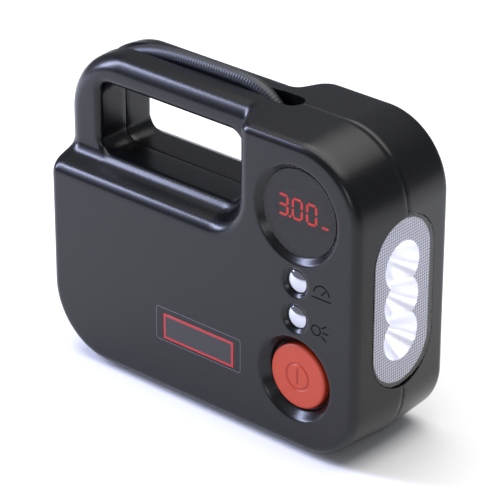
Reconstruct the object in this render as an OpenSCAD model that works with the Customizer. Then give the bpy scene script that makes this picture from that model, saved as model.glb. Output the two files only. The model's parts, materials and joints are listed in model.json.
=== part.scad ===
// Portable jump starter pack with a built-in air compressor, a work lamp and a carrying handle.
// X runs along the length with the lamp at the +X end, Y is the depth with the controls at the
// front (-Y), Z is up. The origin lies on the ground plane under the middle of the case, and the
// two case halves meet in the plane Y = 0.

/* [Case] */
// Length of the case at the parting plane
case_l = 224; // [216:1:300]
// Depth of the case over both flat faces
case_d = 75; // [74:1:110]
// Height of the case without the feet
case_h = 181; // [176:1:230]
// Wall thickness of the shells
wall = 2.6; // [2:0.1:4]
// Draft inset of each face against the parting plane
draft = 2; // [1:0.1:3]
// Edge rounding of each face
edge_r = 5; // [3:0.5:7]
// How far the feet stand out under the case
foot_stand = 1; // [0.6:0.1:3]

/* [Handle] */
// Depth of the handle from front to back
grip_d = 43; // [36:1:52]
// Height of the grip bar
grip_t = 18; // [16:1:24]
// Width of the post at the left end
post_w = 25.5; // [22:0.5:32]
// Height of the finger gap
gap_h = 41; // [34:1:60]
// Corner radius of the finger gap
gap_r = 8; // [6:1:16]
// Edge rounding of the handle on the outside
grip_edge_r = 10; // [6:0.5:11]
// Edge rounding of the handle round the finger gap
gap_edge_r = 5; // [4.5:0.5:6]
// Distance of the shoulder step from the lamp end
step_in = 85.5; // [82:0.5:100]

/* [Controls] */
// Distance of the control column from the lamp end
column_in = 43.4; // [40:0.2:48]
// Radius of the display window
window_r = 24.4; // [20:0.2:26]
// Thickness of the display window
window_t = 1.5; // [1:0.1:2.5]
// Depth of the display under the front face
window_drop = 3; // [2:0.2:4]
// Radius of the two small button caps
small_r = 6.3; // [5:0.1:7]
// Travel of the two small buttons
small_travel = 0.8; // [0.4:0.1:1.2]
// Radius of the power button cap
power_r = 18.6; // [15:0.2:20]
// Travel of the power button
power_travel = 2; // [1:0.2:2.4]
// Side clearance round each button cap
button_gap = 0.3; // [0.15:0.05:0.5]

/* [Lamp] */
// Half width of the lamp lens
lamp_r = 24.4; // [20:0.2:26]
// Height of the lamp lens
lamp_h = 98; // [80:1:110]
// Radius of one reflector bowl
bowl_r = 14; // [10:0.5:16]
// Distance between neighbouring bowls
bowl_pitch = 20.5; // [16:0.5:24]

/* [Hose] */
// Outer radius of the air hose
hose_r = 4.3; // [3:0.1:4.6]
// Clearance between the hose and its channel
channel_gap = 1.2; // [0.6:0.1:1.6]
// Outer radius of the valve connector's nut
nut_r = 5.8; // [5:0.1:6]

/* [Power pack] */
// Thickness of one battery cell
cell_t = 8; // [6:0.2:8.4]
// Length of a battery cell
cell_l = 72; // [50:1:80]
// Height of a battery cell
cell_h = 90; // [60:1:92]
// Number of battery cells
cell_count = 4; // [2:1:4]

/* [Compressor] */
// Outer radius of the motor
motor_r = 17.5; // [14:0.5:18]
// Length of the motor can
motor_l = 46; // [36:1:46]
// Module of the gear pair
gear_m = 1; // [0.9:0.05:1.05]
// Teeth of the pinion
pinion_teeth = 12; // [10:1:12]
// Teeth of the drive gear
gear_teeth = 48; // [40:4:48]
// Radius of the crank pin's circle
crank_r = 7.5; // [5:0.5:8]
// Bore radius of the cylinder
bore_r = 10; // [8:0.5:11]

/* [Back ports] */
// Length of the port cover
cover_l = 48; // [44:1:60]
// Height of the port cover
cover_h = 24; // [22:1:30]

/* [Hidden] */
$fn = 48;
hull_fn = 32;
eps = 0.05;

// Case outline: ground clearance, corner radii and corner centres [x, z, radius]
case_top = foot_stand + case_h;
x_left = -case_l / 2;
x_right = case_l / 2;
y_face = case_d / 2;
y_grip = grip_d / 2;
corner_bl = 42;
corner_br = 36;
corner_tr = 42;
corner_tl = 40;
CORNERS = [
    [x_left + corner_bl, foot_stand + corner_bl, corner_bl],
    [x_right - corner_br, foot_stand + corner_br, corner_br],
    [x_right - corner_tr, case_top - corner_tr, corner_tr],
    [x_left + corner_tl, case_top - corner_tl, corner_tl]
];
// Depth from the parting plane and inset of the outline there
LEVELS = [
    [0, 0],
    [y_face - edge_r, draft],
    [y_face - 0.3 * edge_r, draft + 0.3 * edge_r],
    [y_face, draft + edge_r]
];

// The same for the handle, a little inside the case outline
grip_inset = draft * (y_grip - grip_edge_r) / (y_face - edge_r) + 0.1;
GRIP_LEVELS = [
    [y_grip - grip_edge_r - 1, grip_inset],
    [y_grip - grip_edge_r, grip_inset],
    [y_grip - 0.3 * grip_edge_r, grip_inset + 0.3 * grip_edge_r],
    [y_grip, grip_inset + grip_edge_r]
];

// Finger gap and the step down from the faces to the handle
gap_z1 = case_top - grip_t;
gap_z0 = gap_z1 - gap_h;
gap_x0 = x_left + post_w;
step_x = x_right - step_in;
step_z = gap_z0 - 5.8;
step_run = 5;
step_r = 20;
step_deep = y_grip - grip_edge_r;
step_back = step_run + grip_edge_r * 2 * step_run / (y_face + 1 - y_grip);
gap_x1 = step_x - 10.5;
gap_steps = 8;

// Controls, all on one upright line
column_x = x_right - column_in;
display_z = case_top - 41.8;
unit_z = display_z - 38.8;
lampkey_z = unit_z - 20.8;
power_z = lampkey_z - 35.9;
window_gap = 0.15;
window_ring = 3.4;
display_boss_r = window_r + 5.6;
small_dish = 2.5;
power_dish = 6;
power_boss_t = 12;
power_boss_r = power_r + 8.4;
power_drop = 3;
flange_t = 1.2;
board_t = 1.6;
board_y = -y_face + 13.9;
power_board_y = -y_face + 17.1;
power_board_w = 41;
stop_gap = 0.1;
POSTS = [[-18.6, -66], [18.4, -66], [-18.6, 22], [18.4, 22]];
post_r = 3;
board_screw_r = 1.2;
thread_gap = 0.05;
BOARD_LEGS = [[-17, -17], [17, -17], [-17, 17], [17, 17]];

// Lamp at the right end
lamp_z = case_top - 91.3;
lens_x = x_right - 1.4;
lens_t = 2.4;
lamp_gap = 0.4;
seal_t = 0.8;
reflector_l = 16;
lamp_half = lamp_h / 2 - lamp_r;
led_r = 2.5;
led_t = 2.6;
seal_w = 1.9;

// Screws through the case, as [x, z, true where the handle is]
SCREWS = [
    [x_left + 15, 50, false],
    [-5, foot_stand + 8.4, false],
    [x_right - 12, 30, false],
    [x_right - 14, case_top - 26, false],
    [step_x - 6.5, gap_z0 - 14.8, false],
    [x_left + 17.6, gap_z0 + 7, true],
    [-20, case_top - 12.5, true],
    [step_x + 23.5, case_top - 10, false]
];
screw_r = 1.5;
screw_head_r = 3;
screw_boss_r = 4;
screw_sink = 14;
screw_head_t = 2.4;
screw_tip = 14;

// Feet
foot_r = 6;
foot_t = 3;
foot_stem_r = 2.5;
foot_gap = 0.1;
FEET = [[x_left + 52, -20], [x_left + 52, 20], [x_right - 50, -20], [x_right - 50, 20]];

// Badge on the front face
badge_x = 0.5;
badge_z = 43;
badge_l = 51;
badge_h = 15.5;
badge_t = 0.5;

// Hose: route of its centre line in the plane Y = 0, as [x, z] from the case's upper left
// corner and then from the step beside the display, with z counted from the top of the case
ROUTE_LEFT = [
    [5.5, -88], [5.5, -78], [5.5, -68], [5.5, -58], [5.5, -48], [6, -38], [9, -28],
    [14.5, -19], [22, -12.5], [31, -7], [41, -2.8], [52, -0.2], [64, 1.2], [77, 1.8]
];
ROUTE_RIGHT = [
    [-48.5, 2], [-36.5, 2], [-26.5, 1.8], [-16.5, 0.2], [-7.5, -4], [0, -11], [4.9, -19.5],
    [7.1, -25.5], [7.5, -29], [7.5, -32.5]
];
ROUTE = concat(
    [for (p = ROUTE_LEFT) [x_left + p[0], case_top + p[1]]],
    [for (p = ROUTE_RIGHT) [step_x + p[0], case_top + p[1]]]
);
hose_sides = 12;
channel_r = hose_r + channel_gap;
gland_x = ROUTE[0][0];
gland_z = ROUTE[0][1];
gland_wall = 3;
gland_floor = gland_z - 6;
gland_r = 4;
gland_shank_r = 2.6;
pocket_x = ROUTE[len(ROUTE) - 1][0];
pocket_top = ROUTE[len(ROUTE) - 1][1];
pocket_r = 6.6;
pocket_z0 = case_top - 61;
pocket_x0 = pocket_x - 11;
stem_r = 3.25;
stem_gap = 0.05;
collar_l = 9;
nut_l = 14;

// Battery pack
cell_gap = 0.4;
cell_pitch = cell_t + cell_gap;
battery_x0 = x_left + 27;
battery_z0 = 14;
battery_d = cell_count * cell_pitch - cell_gap;
tray_t = 1.4;
tray_gap = 0.2;
tray_lip = 46;
tray_half = battery_d / 2 + tray_gap + tray_t;
link_t = 0.4;
rib_t = 3;
lead_r = 1.5;

// Ports in the back
port_x0 = x_left + 32;
port_z0 = 23;
port_l = cover_l + 8;
port_h = cover_h + 7;
port_y = y_face - 6.5;
port_gap = 0.15;
port_flange = 2.8;
cover_t = 2.4;
cover_pin_r = 1;
cover_pin_gap = 0.05;
cover_stub = 2.5;
cover_barrel_r = 1.4;
cover_gap = 0.3;
cover_x0 = port_x0 + (port_l - cover_l) / 2;
cover_y = y_face - 0.2;
cover_axis_z = port_z0 + port_h - 5.2;
cover_z0 = cover_axis_z - cover_h + 1.2;
notch_l = 12;

// Compressor
comp_y = 8;
motor_z = 32;
plate_x = x_right - 68;
motor_x = plate_x - 2;
gear_x = plate_x + 6;
gear_w = 6;
plate_t = 3;
shaft_r = 1.5;
shaft_gap = 0.05;
axle_r = 3;
mesh_gap = 0.1;
gear_z = motor_z + gear_m * (pinion_teeth + gear_teeth) / 2 + mesh_gap;
rod_x = gear_x + gear_w + 3.5;
rod_t = 5;
rod_eye_r = 5;
crank_pin_r = 2;
crank_pin_gap = 0.1;
cyl_x = rod_x + rod_t / 2;
rod_l = 41;
piston_gap = 0.1;
shelf_z = gear_z + 25;
shelf_t = 3;
cyl_wall = 2.5;
cyl_h = 26;
head_h = 10;
head_r = 15;
fin_t = 1.4;
nipple_r = 2.6;
foot_plate_y = 27;
foot_plate_x = plate_x - 24;
BRACKET_HOLES = [22, 51, 80];
bracket_screw_r = 1.6;

// Air line from the cylinder head round the battery to the gland
tube_r = 2;
tube_y = y_face - 6.9;
nipple_z = shelf_z + cyl_h + head_h / 2 - 1;
nipple_y = comp_y + 18.5;
tube_z = gland_z + 2;
gland_port_z = gland_z - 14;
TUBE = [
    [cyl_x, nipple_y, nipple_z], [cyl_x, nipple_y + 1.5, nipple_z],
    [cyl_x, tube_y - 0.8, nipple_z - 1.2], [cyl_x, tube_y - 0.1, nipple_z - 3.6],
    [cyl_x - 0.5, tube_y, nipple_z - 7], [cyl_x - 0.5, tube_y, tube_z + 8],
    [cyl_x - 2, tube_y, tube_z + 3], [cyl_x - 7, tube_y, tube_z + 0.3],
    [cyl_x - 17, tube_y, tube_z], [cyl_x - 42, tube_y, tube_z],
    [cyl_x - 72, tube_y, tube_z], [gland_x + 66.5, tube_y, tube_z],
    [gland_x + 36.5, tube_y, tube_z - 1], [gland_x + 26.5, tube_y - 1.6, tube_z - 3],
    [gland_x + 20.5, tube_y - 5.6, tube_z - 6], [gland_x + 17, tube_y - 12.6, tube_z - 10],
    [gland_x + 15.5, 10, tube_z - 13.5], [gland_x + 14.1, 4.4, gland_port_z + 0.6],
    [gland_x + 12.1, 1.2, gland_port_z], [gland_x + 9.5, 0, gland_port_z],
    [gland_x + 7, 0, gland_port_z]
];

// Vents in the back
vent_count = 7;
vent_w = 2.2;
vent_pitch = 6;
vent_h = 26;

// --- Helpers ---

// Prism from y0 to y1 over an outline drawn with x to the right and z up
module slab(y0, y1) {
    translate([0, y1, 0]) rotate([90, 0, 0]) linear_extrude(y1 - y0) children();
}

// Round bar along Y from y0 to y1
module bar_y(x, z, r, y0, y1) {
    translate([x, y1, z]) rotate([90, 0, 0]) cylinder(r = r, h = y1 - y0);
}

// Moves a shape drawn along Z so that it starts at x0 and runs along +X
module along_x(x0, y, z) {
    translate([x0, y, z]) rotate([90, 0, 90]) children();
}

module box(x0, x1, y0, y1, z0, z1) {
    translate([x0, y0, z0]) cube([x1 - x0, y1 - y0, z1 - z0]);
}

function unit(v) = v / norm(v);
function tangent(p, i) = unit(p[min(i + 1, len(p) - 1)] - p[max(i - 1, 0)]);
function ring(p, i, r, n, side) =
    let (t = tangent(p, i), a = unit(cross(side, t)), b = cross(t, a))
    [for (k = [0:n - 1]) p[i] + r * (cos(360 * k / n) * a + sin(360 * k / n) * b)];

// Solid through a list of flat rings that all have the same number of points
module loft(rings) {
    n = len(rings[0]);
    last = (len(rings) - 1) * n;
    skin = [
        for (i = [0:len(rings) - 2], k = [0:n - 1])
            each [
                [i * n + k, (i + 1) * n + k, i * n + (k + 1) % n],
                [(i + 1) * n + k, (i + 1) * n + (k + 1) % n, i * n + (k + 1) % n]
            ]
    ];
    polyhedron([for (r = rings) each r],
        concat(skin, [[for (k = [0:n - 1]) k], [for (k = [n - 1:-1:0]) last + k]]));
}

// Tube of radius r along the points p, with n sides; side is never parallel to the path
module sweep(p, r, n, side) {
    loft([for (i = [0:len(p) - 1]) ring(p, i, r, n, side)]);
}

function hose_points() = [for (p = ROUTE) [p[0], 0, p[1]]];

// Upright stadium in the X-Z or Y-Z outline, r wide on each side and 2 * half between centres
module stadium(r, half) {
    translate([0, half]) circle(r);
    translate([0, -half]) circle(r);
    square([2 * r, 2 * half], center = true);
}

module gear_outline(teeth, m) {
    root = m * (teeth / 2 - 1.25);
    tip = m * (teeth / 2 + 1);
    step = 360 / teeth;
    polygon([
        for (i = [0:teeth - 1], c = [[root, -0.33], [tip, -0.11], [tip, 0.11], [root, 0.33]])
            c[0] * [cos(step * (i + c[1])), sin(step * (i + c[1]))]
    ]);
}

// --- Case halves ---

// Convex block over the case outline through the given levels, shrunk all round
module envelope(levels, shrink) {
    hull() for (level = levels, c = CORNERS)
        translate([c[0], -(level[0] == 0 ? -shrink * 0.02 : level[0] - shrink), c[1]])
            rotate([90, 0, 0]) cylinder(r = c[2] - level[1] - shrink, h = 0.02, $fn = hull_fn);
}

// Space in front of the handle and above the shoulder, with sloping sides, grown by some amount
module step_space(grow) {
    hull() for (level = [[step_deep - grow, -step_back], [y_face + 1, step_run]]) {
        x = step_x + level[1] + grow;
        z = step_z - level[1] - grow;
        bar_y(x - step_r, z + step_r, step_r, -level[0] - 0.02, -level[0], $fn = hull_fn);
        box(x_left - 20, x_left - 19, -level[0] - 0.02, -level[0], z, case_top + 30);
        box(x - 1, x, -level[0] - 0.02, -level[0], case_top + 29, case_top + 30);
    }
}

// Outline of the finger gap at depth y, grown by some amount
function gap_ring(y, grow) = [
    for (q = [0:3], k = [0:gap_steps])
        let (a = 90 * (q + k / gap_steps),
            x = q == 0 || q == 3 ? gap_x1 - gap_r : gap_x0 + gap_r,
            z = q < 2 ? gap_z1 - gap_r : gap_z0 + gap_r)
        [x + (gap_r + grow) * cos(a), y, z + (gap_r + grow) * sin(a)]
];

// Front half of the finger gap, its edges flared into a rounding, grown by some amount
module finger_gap(grow) {
    r = gap_edge_r - grow;
    y = y_grip - gap_edge_r;
    loft([
        gap_ring(1, grow), gap_ring(-y, grow), gap_ring(-y - 0.7 * r, grow + 0.3 * r),
        gap_ring(-y - r, gap_edge_r), gap_ring(-y_face - 5, gap_edge_r)
    ]);
}

// Solid half of the case, shrunk all round, before the finger gap is cut
module solid_half(shrink) {
    difference() {
        envelope(LEVELS, shrink);
        step_space(shrink);
    }
    envelope(GRIP_LEVELS, shrink);
}

// Channel for the hose over the handle and the pocket for its end, grown by some amount
module hose_channel(grow) {
    r = channel_r + grow;
    sweep([for (p = hose_points()) p - (p[2] < gland_z + 1 ? [0, 0, grow] : [0, 0, 0])],
        r, hose_sides, [0, 1, 0]);
    slab(-r, r) polygon(concat(ROUTE, [
        [pocket_x, case_top + 30], [x_left - 30, case_top + 30], [x_left - 30, gland_z]
    ]));
    box(pocket_x0 - grow, pocket_x, -pocket_r - grow, pocket_r + grow, pocket_z0 - grow, case_top + 9);
    translate([pocket_x, 0, pocket_z0 - grow]) cylinder(r = pocket_r + grow, h = 80);
}

// What stays solid inside both halves: screw bosses and the ribs under the battery tray
module inner_bosses() {
    for (s = SCREWS) bar_y(s[0], s[1], screw_boss_r, -y_face, y_face);
    for (x = [battery_x0 + 22, battery_x0 + 46])
        box(x, x + rib_t, -battery_d / 2, battery_d / 2, 0, battery_z0 - tray_t - tray_gap);
    box(x_left, gland_x + 6.5, -7, 7, gland_floor - gland_wall, gland_floor);
    lamp_rim(lamp_r + 3, 14);
}

module lamp_rim(r, depth) {
    along_x(x_right - depth, 0, lamp_z) linear_extrude(depth) stadium(r, lamp_half);
}

// Cut for the lamp: the lens pocket from outside and a narrower opening behind its seat
module lamp_cut() {
    lamp_rim(lamp_r + lamp_gap, x_right - lens_x + lens_t + seal_t);
    along_x(x_right - 20, 0, lamp_z) linear_extrude(30) stadium(lamp_r - seal_w, lamp_half);
    along_x(x_right - 1, 0, lamp_z) linear_extrude(6) stadium(lamp_r + lamp_gap, lamp_half);
}

module gland_cut() {
    translate([gland_x, 0, gland_floor - gland_wall - 1]) cylinder(r = gland_shank_r + 0.05, h = 5);
    translate([gland_x, 0, gland_floor]) cylinder(r = gland_r + 0.6, h = 7);
}

// Shell before its own openings: the solid half less its cavity, which leaves the kept bosses
module shell_blank() {
    difference() {
        solid_half(0);
        finger_gap(0);
        hose_channel(0);
        difference() {
            solid_half(wall);
            finger_gap(wall);
            hose_channel(2);
            inner_bosses();
            children();
        }
        lamp_cut();
        gland_cut();
    }
}

// Bosses behind the front face that guide the controls and carry the boards
module front_bosses() {
    bar_y(column_x, display_z, display_boss_r, -y_face, -y_face + 7);
    for (z = [unit_z, lampkey_z]) bar_y(column_x, z, small_r + 3.7, -y_face, -y_face + 6);
    bar_y(column_x, power_z, power_boss_r, -y_face, -y_face + power_boss_t);
    for (p = POSTS) bar_y(column_x + p[0], display_z + p[1], post_r, -y_face, board_y);
    for (p = BOARD_LEGS) bar_y(column_x + p[0], power_z + p[1], 2.4, -y_face, power_board_y);
}

module front_openings() {
    // Display: sloping rim, seat for the window and the opening behind it
    translate([column_x, -y_face - eps, display_z]) rotate([-90, 0, 0])
        cylinder(r1 = window_r + window_ring, r2 = window_r + window_gap, h = window_drop);
    bar_y(column_x, display_z, window_r + window_gap, -y_face, -y_face + window_drop + window_t);
    bar_y(column_x, display_z, window_r - 3, -y_face, -y_face + 9);
    // Small buttons: a shallow dish and the guide bore
    for (z = [unit_z, lampkey_z]) {
        translate([column_x, -y_face - eps, z]) rotate([-90, 0, 0])
            cylinder(r1 = small_r + small_dish, r2 = small_r + button_gap + 0.6, h = 1.6);
        bar_y(column_x, z, small_r + button_gap, -y_face - 1, -y_face + 8);
    }
    // Power button: a deep dish and the guide bore
    translate([column_x, -y_face - eps, power_z]) rotate([-90, 0, 0])
        cylinder(r1 = power_r + 6.1, r2 = power_r + 1, h = power_dish);
    bar_y(column_x, power_z, power_r + button_gap, -y_face - 1, -y_face + power_boss_t + 1);
    for (p = POSTS)
        bar_y(column_x + p[0], display_z + p[1], board_screw_r + thread_gap, board_y - 7, board_y + 1);
    // Badge recess
    box(badge_x - badge_l / 2 - 0.1, badge_x + badge_l / 2 + 0.1, -y_face - 1, -y_face + badge_t,
        badge_z - badge_h / 2 - 0.1, badge_z + badge_h / 2 + 0.1);
}

module foot_pockets() {
    for (f = FEET) translate([f[0], f[1], 0]) {
        cylinder(r = foot_r + foot_gap, h = foot_t + eps);
        cylinder(r = foot_stem_r + foot_gap, h = foot_t + 6);
    }
}

module front_shell() {
    color("#2e3138") difference() {
        shell_blank() front_bosses();
        front_openings();
        for (s = SCREWS)
            bar_y(s[0], s[1], screw_r + thread_gap, -screw_tip - 1, 1);
        foot_pockets();
    }
}

module back_bosses() {
    for (z = BRACKET_HOLES) bar_y(foot_plate_x + 8, z, 4, -y_face, -foot_plate_y - 3);
}

module back_openings() {
    for (i = [0:vent_count - 1])
        box(x_right - 62 + i * vent_pitch, x_right - 62 + i * vent_pitch + vent_w,
            y_face - 6, y_face + 1, gear_z + 30, gear_z + 30 + vent_h);
    box(port_x0 - port_gap, port_x0 + port_l + port_gap, port_y - 2, y_face + 1,
        port_z0 - port_gap, port_z0 + port_h + port_gap);
    for (z = BRACKET_HOLES)
        bar_y(foot_plate_x + 8, z, bracket_screw_r + thread_gap, foot_plate_y, foot_plate_y + 7);
}

module back_shell() {
    color("#2b2e35") difference() {
        mirror([0, 1, 0]) shell_blank() back_bosses();
        back_openings();
        for (s = SCREWS) {
            outer = s[2] ? y_grip : y_face;
            bar_y(s[0], s[1], screw_r + 0.3, -1, y_face + 1);
            bar_y(s[0], s[1], screw_head_r + 0.3, outer - screw_sink, y_face + 1);
        }
        foot_pockets();
    }
}

module case_screws() {
    color("silver") for (s = SCREWS) {
        seat = (s[2] ? y_grip : y_face) - screw_sink;
        difference() {
            union() {
                bar_y(s[0], s[1], screw_r, -screw_tip, seat);
                bar_y(s[0], s[1], screw_head_r, seat, seat + screw_head_t);
            }
            box(s[0] - 2, s[0] + 2, seat + 1.2, seat + 5, s[1] - 0.4, s[1] + 0.4);
            box(s[0] - 0.4, s[0] + 0.4, seat + 1.2, seat + 5, s[1] - 2, s[1] + 2);
        }
    }
}

module rubber_feet() {
    color("#1b1b1d") for (f = FEET) translate([f[0], f[1], 0]) {
        cylinder(r = foot_r, h = foot_t);
        cylinder(r = foot_stem_r, h = foot_t + 4);
    }
}

module badge_plate() {
    color("#a8242c")
        box(badge_x - badge_l / 2, badge_x + badge_l / 2, -y_face, -y_face + badge_t,
            badge_z - badge_h / 2, badge_z + badge_h / 2);
}

// --- Display and controls ---

window_y = -y_face + window_drop;
module_front_y = window_y + window_t + 1.5;

module display_window() {
    color([0.12, 0.11, 0.14, 0.6])
        bar_y(column_x, display_z, window_r, window_y, window_y + window_t);
}

module display_module() {
    color("#1a1a1e")
        box(column_x - 18, column_x + 18, module_front_y, board_y, display_z - 10, display_z + 10);
}

// Segments of a digit as [x, z, length, upright], for a digit 7 wide and 11 high
digit_w = 6;
digit_h = 11;
segment_t = 1.2;
digit_pitch = 9.6;
digit_x0 = column_x - 16.5;
function segments_on(d) = d == 3 ? [0, 1, 2, 3, 6] : [0, 1, 2, 3, 4, 5];
SEGMENTS = [
    [0, digit_h, false], [digit_w, digit_h * 0.75, true], [digit_w, digit_h * 0.25, true],
    [0, 0, false], [0, digit_h * 0.25, true], [0, digit_h * 0.75, true], [0, digit_h / 2, false]
];

module digit(x, value) {
    for (i = segments_on(value)) {
        s = SEGMENTS[i];
        cx = x + (s[2] ? s[0] : digit_w / 2);
        long = s[2] ? digit_h / 2 - segment_t - 0.3 : digit_w - segment_t - 0.3;
        dx = s[2] ? segment_t / 2 : long / 2;
        dz = s[2] ? long / 2 : segment_t / 2;
        z = display_z - digit_h / 2 + s[1];
        box(cx - dx, cx + dx, module_front_y - 0.3, module_front_y, z - dz, z + dz);
    }
}

module display_digits() {
    color("red") {
        for (i = [0:2]) digit(digit_x0 + i * digit_pitch, i == 0 ? 3 : 0);
        bar_y(digit_x0 + 7.8, display_z - digit_h / 2, 0.7, module_front_y - 0.3, module_front_y);
        for (i = [0, 1])
            box(column_x + 13 + 2.2 * i, column_x + 14.6 + 2.2 * i, module_front_y - 0.3,
                module_front_y, display_z - 5.5, display_z - 4.3);
    }
}

module control_board() {
    color("#2f6b3c") difference() {
        box(column_x - 22.4, column_x + 22.4, board_y, board_y + board_t,
            display_z - 70, display_z + 26);
        for (p = POSTS)
            bar_y(column_x + p[0], display_z + p[1], board_screw_r + 0.2, board_y - 1, board_y + 3);
    }
}

module board_screws() {
    color("silver") for (p = POSTS) {
        bar_y(column_x + p[0], display_z + p[1], board_screw_r, board_y - 6, board_y + board_t);
        bar_y(column_x + p[0], display_z + p[1], 2.4, board_y + board_t, board_y + board_t + 1.4);
    }
}

// Two small switches on the control board and a larger one on the power board
module tact_switches() {
    color("#3a3a40") {
        for (z = [unit_z, lampkey_z]) {
            box(column_x - 3, column_x + 3, board_y - 2.4, board_y, z - 3, z + 3);
            bar_y(column_x, z, 1.6, board_y - 2.8, board_y - 2.4);
        }
        box(column_x - 6, column_x + 6, power_board_y - 1.6, power_board_y, power_z - 6, power_z + 6);
        bar_y(column_x, power_z, 2.6, power_board_y - 2, power_board_y - 1.6);
    }
}

module power_board() {
    color("#2f6b3c")
        box(column_x - power_board_w / 2, column_x + power_board_w / 2, power_board_y,
            power_board_y + board_t, power_z - power_board_w / 2, power_z + power_board_w / 2);
}

power_front_y = -y_face + power_drop;
power_flange_y = -y_face + power_boss_t + stop_gap;
power_inner_y = power_front_y + 3;
spring_r = 11;
spring_wire = 0.6;
spring_turns = 4;

module power_spring() {
    steps = spring_turns * 12;
    y0 = power_inner_y + spring_wire;
    y1 = power_board_y - spring_wire;
    path = [
        for (i = [0:steps])
            [column_x + spring_r * cos(30 * i), y0 + (y1 - y0) * i / steps, power_z + spring_r * sin(30 * i)]
    ];
    color("silver") sweep(path, spring_wire, 6, [0, 1, 0.001]);
}

module power_button() {
    color("#d2512f") difference() {
        union() {
            bar_y(column_x, power_z, power_r, power_front_y, power_flange_y + flange_t);
            bar_y(column_x, power_z, power_r + 2.2, power_flange_y, power_flange_y + flange_t);
        }
        bar_y(column_x, power_z, power_r - 3.6, power_inner_y, power_flange_y + 3);
        difference() {
            bar_y(column_x, power_z, 8.6, power_front_y - 1, power_front_y + 0.5);
            bar_y(column_x, power_z, 7.4, power_front_y - 2, power_front_y + 1);
        }
        box(column_x - 0.6, column_x + 0.6, power_front_y - 1, power_front_y + 0.5,
            power_z - 1, power_z + 4.6);
    }
    color("#d2512f")
        bar_y(column_x, power_z, 2.6, power_inner_y, power_board_y - 2 - power_travel - stop_gap);
}

module small_button(z) {
    flange_y = -y_face + 6 + stop_gap;
    dome = 1.8;
    sphere_r = (small_r * small_r + dome * dome) / (2 * dome);
    color("#d8d8dc") {
        intersection() {
            translate([column_x, -y_face + sphere_r, z]) sphere(r = sphere_r);
            bar_y(column_x, z, small_r, -y_face - 1, -y_face + dome + 0.4);
        }
        bar_y(column_x, z, small_r, -y_face + dome, flange_y + flange_t);
        bar_y(column_x, z, small_r + 1.6, flange_y, flange_y + flange_t);
        bar_y(column_x, z, 2, flange_y, board_y - 2.8 - small_travel - stop_gap);
    }
}

module unit_button() { small_button(unit_z); }
module lamp_button() { small_button(lampkey_z); }

// --- Lamp ---

seal_x = lens_x - lens_t - seal_t;
reflector_x = seal_x - reflector_l;

module lamp_lens() {
    color([0.85, 0.88, 0.92, 0.5])
        along_x(lens_x - lens_t, 0, lamp_z) linear_extrude(lens_t) stadium(lamp_r, lamp_half);
}

module lamp_seal() {
    color("#151517") along_x(seal_x, 0, lamp_z) linear_extrude(seal_t) difference() {
        stadium(lamp_r, lamp_half);
        stadium(lamp_r - seal_w, lamp_half);
    }
}

module lamp_reflector() {
    color("#e4e6ea") difference() {
        along_x(reflector_x, 0, lamp_z)
            linear_extrude(reflector_l + seal_t - 0.2) stadium(lamp_r - seal_w - 0.2, lamp_half);
        for (i = [-1:1]) along_x(reflector_x - eps, 0, lamp_z + i * bowl_pitch)
            cylinder(r1 = 3.4, r2 = bowl_r, h = reflector_l + seal_t);
    }
}

module lamp_board() {
    color("#e9e9ec")
        box(reflector_x - board_t, reflector_x, -15, 15, lamp_z - 42, lamp_z + 42);
}

module lamp_leds() {
    color("#fff6d8") for (i = [-1:1]) along_x(reflector_x, 0, lamp_z + i * bowl_pitch) {
        cylinder(r = led_r, h = led_t);
        translate([0, 0, led_t]) sphere(r = led_r);
    }
}

// --- Battery ---

module battery_cells() {
    color("#8fa0b4") for (i = [0:cell_count - 1])
        translate([battery_x0, -battery_d / 2 + i * cell_pitch, battery_z0])
            cube([cell_l, cell_t, cell_h]);
}

// Open-topped tray that holds the cells, standing on the ribs of the case
module battery_tray() {
    x0 = battery_x0 - tray_gap - tray_t;
    x1 = battery_x0 + cell_l + tray_gap + tray_t;
    z0 = battery_z0 - tray_t;
    color("#1f2024") difference() {
        box(x0, x1, -tray_half, tray_half, z0, z0 + tray_lip);
        box(x0 + tray_t, x1 - tray_t, -tray_half + tray_t, tray_half - tray_t, battery_z0,
            z0 + tray_lip + 1);
    }
}

module battery_links() {
    color("#c9c9c2") for (i = [0:cell_count - 2])
        translate([battery_x0 + (i % 2 == 0 ? 8 : cell_l - 18), -battery_d / 2 + i * cell_pitch + 2,
                battery_z0 + cell_h])
            cube([10, cell_pitch + cell_t - 4, link_t]);
}

module battery_board() {
    color("#2f6b3c")
        box(battery_x0 + 4, battery_x0 + cell_l - 4, -15, 15, battery_z0 + cell_h + link_t,
            battery_z0 + cell_h + link_t + board_t);
}

// Heavy leads from the top of the battery board down to the output socket
module power_leads() {
    z = battery_z0 + cell_h + link_t + board_t + lead_r;
    for (i = [0, 1]) color(i == 0 ? "#b3202a" : "#1c1c1f")
        sweep([
            [LEAD_X[i], 8, z], [LEAD_X[i], 16, z], [LEAD_X[i], 19.4, z - 0.8],
            [LEAD_X[i], 22, z - 3.4], [LEAD_X[i], 23.6, z - 8], [LEAD_X[i], 24, z - 20],
            [LEAD_X[i], 24, z - 40], [LEAD_X[i], 24.4, socket_top + 4], [LEAD_X[i], 24.4, socket_top]
        ], lead_r, 8, [1, 0, 0]);
}

// --- Back ports ---

socket_x0 = port_x0 + 8;
LEAD_X = [socket_x0 + 8, socket_x0 + 13];
socket_l = 22;
socket_z0 = port_z0 + 7.5;
socket_h = 14;
socket_top = socket_z0 + socket_h;
socket_y = port_y + 2.2;
socket_d = min(12, socket_y - tray_half - 0.5);
socket_hole_y = socket_y - 9;
usb_x0 = socket_x0 + socket_l + 3.4;
usb_l = 13.2;
usb_h = 5.8;
jack_x = usb_x0 + usb_l + 3.8;
jack_r = 3;
jack_z = socket_z0 + 7;
plate_y1 = port_y + 3;

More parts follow.
